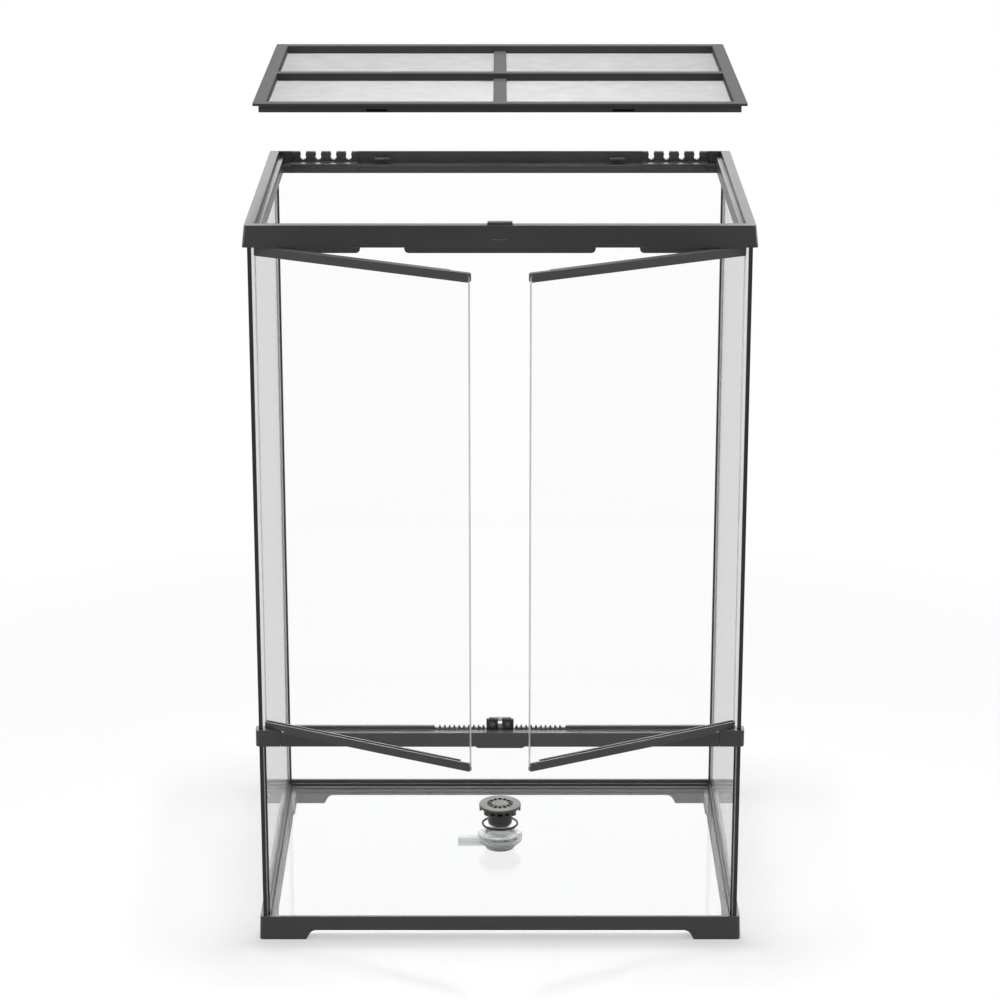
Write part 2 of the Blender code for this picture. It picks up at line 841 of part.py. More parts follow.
def make_mid_rail():
    bar_x = rail_end_inner - fit
    bar = boxes(((-bar_x, bar_x), (mid_rail_front, mid_rail_back), (mid_rail_bottom, mid_rail_top)))
    rail = place("mid_rail", bar, tank, dark_plastic)

    sunk = low_lip_height / 2
    low_top = mid_rail_top + low_lip_height
    low = bmesh.new()
    for side in (-1, 1):
        x = (side * latch_half, side * lip_end)
        box(low, x, (lip_front, mid_rail_back), (mid_rail_top - sunk, low_top))
    join(rail, place("join_low_lip", low, tank))

    high = bmesh.new()
    high_z = (low_top - sunk, mid_rail_top + lip_height)
    high_y = (lip_front + fit, mid_rail_back - fit)
    for side in (-1, 1):
        run = box(high, (side * comb_half, side * (lip_end - fit)), high_y, high_z)
        for v in run:
            if v.co.z > low_top:
                v.co.x += math.copysign(lip_round, comb_half + lip_end - 2 * abs(v.co.x)) * side
    teeth = int((comb_half - latch_half) / comb_pitch)
    for side in (-1, 1):
        for n in range(teeth):
            x = side * (comb_half - (n + 0.9) * comb_pitch)
            tooth = box(high, (x - comb_tooth / 2, x + comb_tooth / 2), high_y, high_z)
            widen(tooth, False, -(comb_tooth - comb_tooth_tip) / 2)
    join(rail, place("join_comb", high, tank))

    apron = bmesh.new()
    foot = box(
        apron,
        (-apron_half, apron_half),
        (mid_rail_front, -half_y - fit),
        (mid_rail_bottom - apron_drop, mid_rail_bottom + apron_drop),
    )
    widen(foot, True, -apron_chamfer)
    join(rail, place("join_rail_apron", apron, tank))

    slot_x = half_x
    slot = boxes(
        (
            (-slot_x, slot_x),
            (-half_y - fit, -inner_y + fit),
            (mid_rail_bottom - mid_rail_height, mid_rail_bottom + front_glass_in_rail + fit),
        )
    )
    front_slot = place("cut_front_glass_slot", slot, tank)
    cut(rail, front_slot)

    for name, side in (("left", -1), ("right", 1)):
        outer = half_x + mid_rail_wall
        bm = bmesh.new()
        block = box(
            bm,
            (side * rail_end_inner, side * outer),
            (mid_rail_front, mid_rail_back),
            (mid_rail_bottom, rail_end_top),
        )
        round_upright_edges(
            bm, block, base_corner, lambda p: abs(p.x) > half_x and p.y < -half_y
        )
        end = place(f"{name}_rail_end", bm, tank, dark_plastic)
        side_slot = boxes(
            (
                (side * (inner_x - fit), side * (half_x + fit)),
                (-half_y - fit, mid_rail_back + mid_rail_wall),
                (mid_rail_bottom - mid_rail_wall, rail_end_top + mid_rail_wall),
            )
        )
        pin = bmesh.new()
        rod(
            pin,
            (side * hinge_x, hinge_y, rail_end_top),
            pin_radius + fit,
            2 * (pin_in_frame + fit),
        )
        cut(
            end,
            place(f"cut_{name}_rail_end_slot", side_slot, tank),
            front_slot,
            place(f"cut_{name}_rail_end_pin", pin, tank),
        )


def make_catches():
    base = mid_rail_top + fit
    striker_back = hinge_y + door_rail_thickness / 2 - striker_rebate + fit + striker_thickness
    front = striker_back + catch_to_striker
    back = front + catch_depth
    inner = door_gap / 2
    centre_x = (inner + catch_outer) / 2
    centre_z = base + catch_height / 2
    for name, side in (("left", -1), ("right", 1)):
        bm = bmesh.new()
        housing = box(bm, (side * inner, side * catch_outer), (front, back), (base, base + catch_height))
        round_upright_edges(bm, housing, catch_corner)
        catch = place(f"{name}_door_catch", bm, tank, black_plastic)
        pocket = bmesh.new()
        depth = magnet_thickness + fit
        rod(pocket, (side * centre_x, front, centre_z), magnet_radius + fit, 2 * depth, "Y")
        cut(catch, place(f"cut_{name}_magnet_pocket", pocket, tank))
        magnet = bmesh.new()
        centre = (side * centre_x, front + magnet_thickness / 2, centre_z)
        rod(magnet, centre, magnet_radius, magnet_thickness, "Y")
        smooth(place(f"{name}_catch_magnet", magnet, tank, plated_steel))

    plate_front = back + button_wall + 2 * fit
    plate_back = plate_front + bracket_thickness
    plate_top = base + bracket_height
    plate = boxes(((-bracket_half, bracket_half), (plate_front, plate_back), (base, plate_top)))
    bracket = place("latch_bracket", plate, tank, grey_plastic)
    window = boxes(
        (
            (-bracket_window_half, bracket_window_half),
            (plate_front - bracket_thickness, plate_back + bracket_thickness),
            (plate_top - bracket_window_height, plate_top + bracket_height),
        )
    )
    cut(bracket, place("cut_bracket_window", window, tank))

    foot = plate_top + fit
    front = plate_front - fit - button_wall
    back = plate_back + fit + button_wall
    origin = (0, (plate_front + plate_back) / 2, foot)
    block = boxes(((-bracket_half, bracket_half), (front, back), (foot, foot + button_height)))
    button = place("door_latch_button", block, tank, grey_plastic, origin)
    over = bracket_half + button_wall
    hollow = boxes(
        (
            (-over, over),
            (plate_front - fit, plate_back + fit),
            (foot - button_travel, foot + button_travel + fit),
        )
    )
    grooves = bmesh.new()
    count = int((bracket_half - button_groove_width) / button_groove_pitch)
    for n in range(-count, count + 1):
        x = n * button_groove_pitch
        half = button_groove_width / 2
        y = (front - button_groove_depth, front + button_groove_depth)
        box(grooves, (x - half, x + half), y, (foot + half, foot + 2 * button_height))
    cut(
        button,
        place("cut_button_channel", hollow, tank),
        place("cut_button_grooves", grooves, tank),
    )


def make_door(name, side):
    """Makes a door in the frame of its hinge, with its length towards the other door."""
    inward = -side
    hinge = empty(
        f"{name}_door_hinge", (side * hinge_x, hinge_y, 0), tank, side * open_angle
    )
    half_rail = door_rail_thickness / 2
    outer = -inward * door_outboard
    free = inward * door_reach
    cap_start = inward * (door_reach - end_cap_length)
    rail_end = cap_start - inward * fit
    half_pane = door_pane / 2
    channel = boxes(
        (
            (outer - inward * half_rail, free + inward * half_rail),
            (-half_pane - fit, half_pane + fit),
            (channel_bottom, channel_top),
        )
    )
    glass_channel = place(f"cut_{name}_door_channel", channel, hinge)
    pane_z = (channel_bottom + fit, channel_top - fit)
    place(
        f"{name}_door_glass", boxes(((outer, free), (-half_pane, half_pane), pane_z)), hinge, clear_glass
    )

    bottom_z = (door_bottom, door_bottom + bottom_rail_height)
    top_z = (door_top - top_rail_height, door_top)
    under = bottom_rail_height
    striker_zone = catch_outer - door_gap / 2 + striker_margin
    relief_z = (door_bottom - under, rail_end_top + fit)
    relief = boxes(
        (
            (outer - inward * half_rail, inward * hinge_relief),
            (-door_rail_thickness, door_rail_thickness),
            relief_z,
        )
    )
    rebates = boxes(
        (
            (free - inward * striker_zone, free + inward * half_rail),
            (half_rail - striker_rebate, door_rail_thickness),
            (door_bottom - under, door_bottom + 2 * under),
        ),
        (
            (free - inward * top_rebate_length, free + inward * half_rail),
            (half_rail - top_rebate_width, door_rail_thickness),
            (door_top - top_rebate_depth, door_top + under),
        ),
    )
    cut_relief = place(f"cut_{name}_hinge_relief", relief, hinge)
    cut_rebates = place(f"cut_{name}_door_rebates", rebates, hinge)
    pin_low = (rail_end_top - pin_in_frame, rail_end_top + fit + pin_in_rail / 2)
    pin_high = (door_top - pin_in_rail, rim_bottom + pin_in_frame)
    holes = bmesh.new()
    for label, (low, high) in (("lower", pin_low), ("upper", pin_high)):
        middle = (low + high) / 2
        rod(holes, (0, 0, middle), pin_radius + fit, high - low + 2 * fit)
        pin = bmesh.new()
        rod(pin, (0, 0, middle), pin_radius, high - low)
        smooth(place(f"{name}_door_{label}_pin", pin, hinge, plated_steel))
    cut_pins = place(f"cut_{name}_door_pins", holes, hinge)

    for label, z in (("bottom", bottom_z), ("top", top_z)):
        bm = bmesh.new()
        rail = box(bm, (outer, rail_end), (-half_rail, half_rail), z)
        near = outer + inward * door_corner
        round_upright_edges(
            bm, rail, door_corner, lambda p: abs(p.x - outer) < abs(near - outer)
        )
        made = place(f"{name}_door_{label}_rail", bm, hinge, dark_plastic)
        cut(made, glass_channel)
        if label == "bottom":
            cut(made, cut_relief)
        cut(made, cut_rebates, cut_pins)
        cap = boxes(((cap_start, free), (-half_rail, half_rail), z))
        end = place(f"{name}_door_{label}_end_cap", cap, hinge, dark_plastic)
        cut(end, glass_channel, cut_rebates)

    plate_end = free - inward * (striker_zone - striker_margin)
    plate = boxes(
        (
            (cap_start - inward * fit, plate_end),
            (half_rail - striker_rebate + fit, half_rail - striker_rebate + fit + striker_thickness),
            (door_bottom + fit, door_bottom + fit + striker_height),
        )
    )
    place(f"{name}_door_striker", plate, hinge, plated_steel)


def make_drain():
    gasket_low = floor_glass_top + fit
    axis = (0, drain_y, 0)
    turned(
        "drain_gasket",
        [
            (gasket_radius, gasket_low + gasket_thickness),
            (gasket_radius, gasket_low),
            (drain_hole, gasket_low),
            (drain_hole, gasket_low + gasket_thickness),
        ],
        tank,
        frosted_plastic,
        axis,
    )
    groove_in = ring_radius - ring_section - fit
    groove_out = ring_radius + ring_section + fit
    groove_z = flange_top - ring_groove_depth
    turned(
        "drain_flange",
        [
            (groove_out, flange_top),
            (flange_radius, flange_top),
            (flange_radius, flange_bottom),
            (neck_radius, flange_bottom),
            (neck_radius, neck_bottom),
            (neck_bore, neck_bottom),
            (neck_bore, flange_top),
            (groove_in, flange_top),
            (groove_in, groove_z),
            (groove_out, groove_z),
        ],
        tank,
        frosted_plastic,
        axis,
    )
    hexagon, nut_hole = bmesh.new(), bmesh.new()
    centre = (0, drain_y, (nut_top + nut_bottom) / 2)
    corner_radius = nut_across_flats / 2 / math.cos(math.pi / 6)
    rod(hexagon, centre, corner_radius, nut_thickness, steps=6)
    rod(nut_hole, centre, neck_radius + fit, 3 * nut_thickness, steps=round_steps)
    nut = place("drain_nut", hexagon, tank, frosted_plastic)
    cut(nut, place("cut_nut_bore", nut_hole, tank))

    make_chamber(axis)
    make_strainer()
    bpy.ops.mesh.primitive_torus_add(
        major_radius=ring_radius,
        minor_radius=ring_section,
        major_segments=ring_steps,
        minor_segments=8,
    )
    ring = bpy.context.object
    for held in list(ring.users_collection):
        held.objects.unlink(ring)
    scene_parts.objects.link(ring)
    ring.name = "o_ring"
    ring.data.name = "o_ring"
    ring.data.materials.append(black_seal)
    ring.location = (0, drain_y, groove_z + fit + ring_section + ring_lift)
    ring.parent = tank
    smooth(ring)


def make_chamber(axis):
    """Makes the moulded body under the floor: a cup round the nut, a chamber and a hose pipe."""
    top = floor_glass_bottom - fit
    pocket_floor = nut_bottom - fit
    cup_bottom = pocket_floor - cup_floor
    inside = chamber_bottom + chamber_floor
    seat_top = inside + seat_ring_height
    seat_outer = seat_ring_inner + seat_ring_wall
    chamber = turned(
        "drain_body",
        [
            (0, inside),
            (seat_ring_inner, inside),
            (seat_ring_inner, seat_top),
            (seat_outer, seat_top),
            (seat_outer, inside),
            (chamber_bore, inside),
            (chamber_bore, neck_bottom - fit),
            (neck_radius + fit, neck_bottom - fit),
            (neck_radius + fit, top),
            (cup_radius, top),
            (cup_radius, cup_bottom + cup_chamfer),
            (cup_radius - cup_chamfer, cup_bottom),
            (chamber_radius, cup_bottom),
            (chamber_radius, chamber_bottom + chamber_taper_height),
            (chamber_foot_radius, chamber_bottom),
            (0, chamber_bottom),
        ],
        tank,
        frosted_plastic,
        axis,
    )
    pipe, bore, pocket = bmesh.new(), bmesh.new(), bmesh.new()
    start = (neck_radius + chamber_radius) / 2
    middle = -(start + hose_pipe_reach) / 2
    centre = (middle, drain_y, hose_pipe_height)
    rod(pipe, centre, hose_pipe_radius, hose_pipe_reach - start, "X")
    start = (seat_outer + chamber_bore) / 2
    end = hose_pipe_reach + hose_pipe_radius
    centre = (-(start + end) / 2, drain_y, hose_pipe_height)
    rod(bore, centre, hose_pipe_bore, end - start, "X")
    depth = top - pocket_floor
    rod(pocket, (0, drain_y, pocket_floor + depth), cup_radius - cup_wall, 2 * depth, steps=round_steps)
    join(chamber, place("join_hose_pipe", pipe, tank))
    cut(chamber, place("cut_hose_pipe", bore, tank), place("cut_nut_pocket", pocket, tank))


def make_strainer():
    seat = flange_top + fit + foot_tab_height
    under = seat + strainer_lift  # underside of the cap
    bore = barrel_radius - barrel_wall
    waist = barrel_radius - barrel_step
    inside = cap_thickness / 3
    strainer = turned(
        "strainer",
        [
            (0, cap_thickness + cap_boss_height),
            (cap_boss_radius, cap_thickness + cap_boss_height),
            (cap_boss_radius + cap_boss_height, cap_thickness),
            (cap_radius - cap_edge, cap_thickness),
            (cap_radius, cap_thickness - cap_edge),
            (cap_radius, 0),
            (barrel_radius, 0),
            (barrel_radius, -barrel_collar),
            (waist, -barrel_collar),
            (waist, -barrel_length + barrel_chamfer),
            (waist - barrel_chamfer, -barrel_length),
            (waist - barrel_wall, -barrel_length),
            (waist - barrel_wall, -window_drop - window_height - barrel_step - window_drop),
            (bore, -window_drop - window_height - window_drop),
            (bore, inside),
            (0, inside),
        ],
        tank,
        strainer_plastic,
        (0, drain_y, under),
    )
    slots, windows, tabs = bmesh.new(), bmesh.new(), bmesh.new()
    z = (under + inside - cap_edge, under + cap_thickness + cap_edge)
    for n in range(slot_count):
        angle = 360 * n / slot_count - 90
        radial_box(slots, angle, slot_inner, slot_outer, slot_inner_width, z, slot_outer_width)
    window_top = under - window_drop
    z = (window_top - window_height, window_top)
    for n in range(window_count):
        angle = 360 * n / window_count - 90
        near, far = waist - 2 * barrel_wall, barrel_radius + barrel_wall
        radial_box(windows, angle, near, far, window_width, z)
    tab_out = cap_radius - foot_tab_margin
    z = (under - foot_tab_height, under + cap_thickness / 2)
    for angle in foot_tab_angles:
        radial_box(tabs, angle, tab_out - foot_tab_thickness, tab_out, foot_tab_width, z)
    for bm in (slots, windows, tabs):
        bmesh.ops.translate(bm, verts=bm.verts, vec=(0, drain_y, 0))
    cut(strainer, place("cut_strainer_slots", slots, tank), place("cut_strainer_windows", windows, tank))
    join(strainer, place("join_strainer_tabs", tabs, tank))


clear_scene()
scene_parts = collection("paludarium")
scene_cutters = collection("paludarium_cutters")

clear_glass = finish("clear_glass", (0.86, 0.90, 0.88), 0.02, alpha=0.25)
dark_plastic = finish("dark_plastic", (0.045, 0.045, 0.047), 0.42)
black_plastic = finish("black_plastic", (0.015, 0.015, 0.016), 0.35)
grey_plastic = finish("grey_plastic", (0.22, 0.22, 0.22), 0.45)
strainer_plastic = finish("strainer_plastic", (0.10, 0.088, 0.080), 0.55)
frosted_plastic = finish("frosted_plastic", (0.72, 0.73, 0.73), 0.35, alpha=0.6)
black_seal = finish("black_seal", (0.012, 0.012, 0.012), 0.6)
bright_mesh = finish("bright_mesh", (0.62, 0.62, 0.62), 0.4, metallic=0.8)
plated_steel = finish("plated_steel", (0.55, 0.55, 0.56), 0.3, metallic=1.0)

tank = empty("tank", (0, tank_centre_y, 0))
make_base_frame()
make_glass()
make_seals()
keyholes, necks = keyhole_cutters()
make_top_rim(keyholes, necks)
make_lid_latch()
make_inlet_sliders(keyholes, necks)
make_lid()
make_mid_rail()
make_catches()
make_door("left", -1)
make_door("right", 1)
make_drain()
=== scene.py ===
import json
import math

import bmesh
import bpy
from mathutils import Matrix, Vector


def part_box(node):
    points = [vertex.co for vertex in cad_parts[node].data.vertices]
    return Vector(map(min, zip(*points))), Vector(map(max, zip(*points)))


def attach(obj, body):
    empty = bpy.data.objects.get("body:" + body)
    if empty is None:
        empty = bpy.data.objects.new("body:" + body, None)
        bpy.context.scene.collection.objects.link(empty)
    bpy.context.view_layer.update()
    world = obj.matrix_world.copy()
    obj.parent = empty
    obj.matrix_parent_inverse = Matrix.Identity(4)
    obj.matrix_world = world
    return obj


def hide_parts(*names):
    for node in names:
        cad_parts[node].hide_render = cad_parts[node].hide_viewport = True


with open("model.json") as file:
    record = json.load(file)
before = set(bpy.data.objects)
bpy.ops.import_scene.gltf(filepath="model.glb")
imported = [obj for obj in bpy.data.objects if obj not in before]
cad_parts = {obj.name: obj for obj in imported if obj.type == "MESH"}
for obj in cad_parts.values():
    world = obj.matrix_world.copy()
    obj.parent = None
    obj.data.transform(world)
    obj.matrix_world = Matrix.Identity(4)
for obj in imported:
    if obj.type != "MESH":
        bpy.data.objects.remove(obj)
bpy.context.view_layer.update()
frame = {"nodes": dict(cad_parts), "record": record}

nodes = frame["nodes"]
print("frame loaded:", len(nodes), "parts")


def addNode(tree, kind, inputs=None, **settings):
    made = tree.nodes.new(kind)
    for name, value in settings.items():
        setattr(made, name, value)
    for name, value in (inputs or {}).items():
        socket = made.inputs[name]
        if isinstance(value, bpy.types.NodeSocket):
            tree.links.new(value, socket)
        else:
            socket.default_value = value
    return made


def mathNode(tree, operation, a, b=0.0, clamp=False):
    made = addNode(tree, "ShaderNodeMath", {0: a, 1: b}, operation=operation, use_clamp=clamp)
    return made.outputs[0]


def remap(tree, value, fromLow, fromHigh, toLow=0.0, toHigh=1.0):
    made = addNode(
        tree,
        "ShaderNodeMapRange",
        {"Value": value, "From Min": fromLow, "From Max": fromHigh, "To Min": toLow, "To Max": toHigh},
    )
    return made.outputs["Result"]


def mixColour(tree, share, first, second):
    made = addNode(tree, "ShaderNodeMix", data_type="RGBA", blend_type="MIX")
    for index, value in ((0, share), (6, first), (7, second)):
        if isinstance(value, bpy.types.NodeSocket):
            tree.links.new(value, made.inputs[index])
        else:
            made.inputs[index].default_value = value
    return made.outputs[2]


def noiseNode(tree, coords, scale, detail=2.0, roughness=0.5):
    made = addNode(
        tree,
        "ShaderNodeTexNoise",
        {"Vector": coords, "Scale": scale, "Detail": detail, "Roughness": roughness},
    )
    return made.outputs["Fac"]


def newGroup(name, inputs, outputs):
    tree = bpy.data.node_groups.new(name, "ShaderNodeTree")
    for label, value in inputs.items():
        socket = tree.interface.new_socket(label, in_out="INPUT", socket_type="NodeSocketFloat")
        socket.default_value = value
    for label in outputs:
        tree.interface.new_socket(label, in_out="OUTPUT", socket_type="NodeSocketFloat")
    return tree, addNode(tree, "NodeGroupInput"), addNode(tree, "NodeGroupOutput")


def useGroup(tree, group, values):
    return addNode(tree, "ShaderNodeGroup", values, node_tree=group)


# surface effects that the materials share
grainLook = {"coarseScale": 0.3, "fineShare": 0.7, "coarseShare": 0.3}
wearLook = {"edgeFrom": 0.995, "edgeTo": 0.86, "patchFrom": 0.42, "patchTo": 0.62}
dustLook = {"upFrom": 0.55, "upTo": 0.98, "speckFrom": 0.35, "speckTo": 0.75}


def makeGrainGroup():
    # spark-eroded mould texture: a fine pebble with a slow change of tone
    tree, given, out = newGroup(
        "mouldedGrain", {"Grain Scale": 2600.0, "Cloud Scale": 16.0}, ("Height", "Cloud")
    )
    coords = addNode(tree, "ShaderNodeTexCoord").outputs["Object"]
    fine = noiseNode(tree, coords, given.outputs["Grain Scale"], 2.0, 0.6)
    coarseScale = mathNode(tree, "MULTIPLY", given.outputs["Grain Scale"], grainLook["coarseScale"])
    coarse = noiseNode(tree, coords, coarseScale, 1.0)
    fine = mathNode(tree, "MULTIPLY", fine, grainLook["fineShare"])
    coarse = mathNode(tree, "MULTIPLY", coarse, grainLook["coarseShare"])
    height = mathNode(tree, "ADD", fine, coarse)
    cloud = noiseNode(tree, coords, given.outputs["Cloud Scale"], 3.0, 0.55)
    tree.links.new(height, out.inputs["Height"])
    tree.links.new(cloud, out.inputs["Cloud"])
    return tree


def makeWearGroup():
    # edges that hands and packing have polished: found where a rounded normal leaves the true one
    tree, given, out = newGroup("edgeWear", {"Radius": 0.0009, "Patch Scale": 60.0}, ("Edge",))
    rounded = addNode(tree, "ShaderNodeBevel", {"Radius": given.outputs["Radius"]}, samples=4)
    flat = addNode(tree, "ShaderNodeNewGeometry").outputs["Normal"]
    facing = addNode(
        tree, "ShaderNodeVectorMath", {0: rounded.outputs["Normal"], 1: flat}, operation="DOT_PRODUCT"
    ).outputs["Value"]
    turnedAway = remap(tree, facing, wearLook["edgeFrom"], wearLook["edgeTo"])
    coords = addNode(tree, "ShaderNodeTexCoord").outputs["Object"]
    patches = noiseNode(tree, coords, given.outputs["Patch Scale"], 4.0, 0.6)
    patches = remap(tree, patches, wearLook["patchFrom"], wearLook["patchTo"])
    tree.links.new(mathNode(tree, "MULTIPLY", turnedAway, patches), out.inputs["Edge"])
    return tree


def makeDustGroup():
    # a thin film that settles on what faces up
    tree, given, out = newGroup("settledDust", {"Speck Scale": 420.0}, ("Film",))
    normal = addNode(tree, "ShaderNodeNewGeometry").outputs["Normal"]
    upward = addNode(tree, "ShaderNodeSeparateXYZ", {0: normal}).outputs["Z"]
    coords = addNode(tree, "ShaderNodeTexCoord").outputs["Object"]
    specks = noiseNode(tree, coords, given.outputs["Speck Scale"], 5.0, 0.7)
    specks = remap(tree, specks, dustLook["speckFrom"], dustLook["speckTo"])
    film = mathNode(tree, "MULTIPLY", remap(tree, upward, dustLook["upFrom"], dustLook["upTo"]), specks)
    tree.links.new(film, out.inputs["Film"])
    return tree


grainGroup = makeGrainGroup()
wearGroup = makeWearGroup()
dustGroup = makeDustGroup()


def startMaterial(name):
    made = bpy.data.materials.new(name)
    made.use_nodes = True
    tree = made.node_tree
    return made, tree, tree.nodes["Principled BSDF"]


def toned(tree, pattern, colour, tones, span=(0.3, 0.7)):
    # one colour that drifts between a darker and a lighter tone of itself
    dark, light = [(*[min(1, c * tone) for c in colour], 1) for tone in tones]
    return mixColour(tree, remap(tree, pattern, *span), dark, light)


def mouldedPlastic(name, look):
    made, tree, shader = startMaterial(name)
    grain = useGroup(tree, grainGroup, {"Grain Scale": look["grainScale"], "Cloud Scale": look["cloudScale"]})
    wear = useGroup(tree, wearGroup, {"Radius": look["wearRadius"], "Patch Scale": look["wearPatch"]})
    dust = useGroup(tree, dustGroup, {"Speck Scale": look["dustScale"]})
    colour = toned(tree, grain.outputs["Cloud"], look["colour"], (1 - look["cloud"], 1 + look["cloud"]))
    worn = mathNode(tree, "MULTIPLY", wear.outputs["Edge"], look["wear"])
    colour = mixColour(tree, worn, colour, (*look["wornColour"], 1))
    film = mathNode(tree, "MULTIPLY", dust.outputs["Film"], look["dust"])
    colour = mixColour(tree, film, colour, (*look["dustColour"], 1))
    least, most = look["rough"] - look["roughSpread"], look["rough"] + look["roughSpread"]
    rough = remap(tree, grain.outputs["Cloud"], 0.25, 0.75, least, most)
    rough = mathNode(tree, "SUBTRACT", rough, mathNode(tree, "MULTIPLY", worn, look["wornPolish"]))
    rough = mathNode(tree, "ADD", rough, mathNode(tree, "MULTIPLY", film, look["filmRough"]), True)
    bump = addNode(
        tree,
        "ShaderNodeBump",
        {"Strength": look["grain"], "Distance": look["grainDepth"], "Height": grain.outputs["Height"]},
    )
    tree.links.new(colour, shader.inputs["Base Color"])
    tree.links.new(rough, shader.inputs["Roughness"])
    tree.links.new(bump.outputs["Normal"], shader.inputs["Normal"])
    shader.inputs["IOR"].default_value = look["ior"]
    shader.inputs["Specular IOR Level"].default_value = look["specular"]
    return made


plasticBase = {
    "colour": (0.031, 0.031, 0.032),
    "cloud": 0.05,
    "rough": 0.31,
    "roughSpread": 0.02,
    "wornPolish": 0.06,  # how much smoother a worn edge is
    "filmRough": 0.5,  # how much rougher the dust is
    "ior": 1.5,
    "specular": 0.5,
    "grain": 0.12,
    "grainDepth": 0.00004,
    "grainScale": 2600.0,
    "cloudScale": 16.0,
    "wear": 0.35,
    "wearRadius": 0.0009,
    "wearPatch": 60.0,
    "wornColour": (0.10, 0.10, 0.10),
    "dust": 0.04,
    "dustScale": 420.0,
    "dustColour": (0.42, 0.41, 0.39),
}
plasticLooks = {
    "framePlastic": {},
    # lidPlastic is the frame plastic with a lighter colour, painted light that stands in for the lid's
    # brighter light
    "lidPlastic": {"colour": (0.046, 0.046, 0.047), "rough": 0.5, "specular": 0.02},
    "ringRubber": {"colour": (0.006, 0.006, 0.006), "rough": 0.5, "specular": 0.2},
    # slotShade is painted shade: near-black plastic for the walls of slots, windows and bores, where shade
    # falls
    "slotShade": {"colour": (0.004, 0.004, 0.004), "rough": 0.6, "specular": 0.1, "wear": 0.0, "dust": 0.0},
    "catchPlastic": {"colour": (0.005, 0.005, 0.006), "rough": 0.20},
    "magnetCoat": {
        "colour": (0.020, 0.020, 0.022), "rough": 0.18, "specular": 0.9, "wornColour": (0.3, 0.3, 0.3),
    },
    "latchGreyPlastic": {"colour": (0.55, 0.55, 0.55), "rough": 0.36, "wornColour": (0.62, 0.62, 0.62)},
    "strainerPlastic": {
        "colour": (0.027, 0.023, 0.020), "rough": 0.36, "wornColour": (0.12, 0.11, 0.10), "cloudScale": 90.0,
        "grainDepth": 0.00008, "dust": 0.10,
    },
    "siliconeSeal": {
        "colour": (0.008, 0.008, 0.008), "rough": 0.34, "grain": 0.5, "grainScale": 500.0, "wear": 0.0,
        "dust": 0.05,
    },
}
materials = {name: mouldedPlastic(name, {**plasticBase, **own}) for name, own in plasticLooks.items()}


glassLooks = {
    "tankGlass": {"tint": (0.984, 0.988, 0.986), "ior": 1.14},
    "floorGlass": {"tint": (0.895, 0.902, 0.899), "ior": 1.08},
}
streakLook = {"stretch": 0.18, "scale": 9.0, "from": 0.55, "to": 0.8, "rough": 0.03}
glassShadow = (0.965, 0.976, 0.972)


def makeGlass(name, look):
    # clean float glass with faint wiping streaks
    made, tree, shader = startMaterial(name)
    coords = addNode(tree, "ShaderNodeTexCoord").outputs["Object"]
    drawnOut = {"Vector": coords, "Scale": (1.0, 1.0, streakLook["stretch"])}
    streaks = addNode(tree, "ShaderNodeMapping", drawnOut).outputs[0]
    smudge = noiseNode(tree, streaks, streakLook["scale"], 5.0, 0.65)
    rough = remap(tree, smudge, streakLook["from"], streakLook["to"], 0.0, streakLook["rough"])
    tree.links.new(rough, shader.inputs["Roughness"])
    shader.inputs["Base Color"].default_value = (*look["tint"], 1)
    shader.inputs["IOR"].default_value = look["ior"]
    shader.inputs["Transmission Weight"].default_value = 1.0
    clear = addNode(tree, "ShaderNodeBsdfTransparent", {"Color": (*glassShadow, 1)})
    path = addNode(tree, "ShaderNodeLightPath")
    both = addNode(
        tree,
        "ShaderNodeMixShader",
        {0: path.outputs["Is Shadow Ray"], 1: shader.outputs[0], 2: clear.outputs[0]},
    )
    tree.links.new(both.outputs[0], tree.nodes["Material Output"].inputs["Surface"])
    return made


edgeLook = {
    "colour": (0.36, 0.385, 0.378),
    "rough": 0.30,
    "roughSpread": 0.08,
    "ior": 1.3,
    "grindScale": 1400.0,
    "grind": 0.3,
    "grindDepth": 0.00008,
    "toneScale": 25.0,
    "tones": (0.92, 1.08),
    "through": 0.5,
}


def makeGroundEdge():
    # the seamed edge of a pane: fine grinding marks along it
    made, tree, shader = startMaterial("groundGlassEdge")
    coords = addNode(tree, "ShaderNodeTexCoord").outputs["Object"]
    marks = noiseNode(tree, coords, edgeLook["grindScale"], 3.0, 0.7)
    drift = noiseNode(tree, coords, edgeLook["toneScale"])
    colour = toned(tree, drift, edgeLook["colour"], edgeLook["tones"])
    bump = addNode(
        tree,
        "ShaderNodeBump",
        {"Strength": edgeLook["grind"], "Distance": edgeLook["grindDepth"], "Height": marks},
    )
    least, most = edgeLook["rough"] - edgeLook["roughSpread"], edgeLook["rough"] + edgeLook["roughSpread"]
    tree.links.new(colour, shader.inputs["Base Color"])
    tree.links.new(remap(tree, marks, 0.3, 0.7, least, most), shader.inputs["Roughness"])
    tree.links.new(bump.outputs["Normal"], shader.inputs["Normal"])
    shader.inputs["IOR"].default_value = edgeLook["ior"]
    shader.inputs["Transmission Weight"].default_value = edgeLook["through"]
    return made


frostBase = {
    "ior": 1.18,
    "frost": 0.10,
    "frostDepth": 0.0001,
    "frostScale": 900.0,
    "flowScale": 70.0,
    "tones": (0.93, 1.05),
    "roughSpread": 0.03,
}
frostLooks = {
    "frostedPlastic": {"colour": (0.94, 0.945, 0.945), "rough": 0.12, "through": 0.84},
    "frostedBody": {"colour": (0.70, 0.705, 0.705), "rough": 0.06, "ior": 1.12, "through": 0.80},
    # frostedShade is painted shade: a dark, nearly opaque copy of the frosted plastic for the drain body's
    # inner lower faces
    "frostedShade": {"colour": (0.06, 0.06, 0.06), "rough": 0.30, "through": 0.05},
}


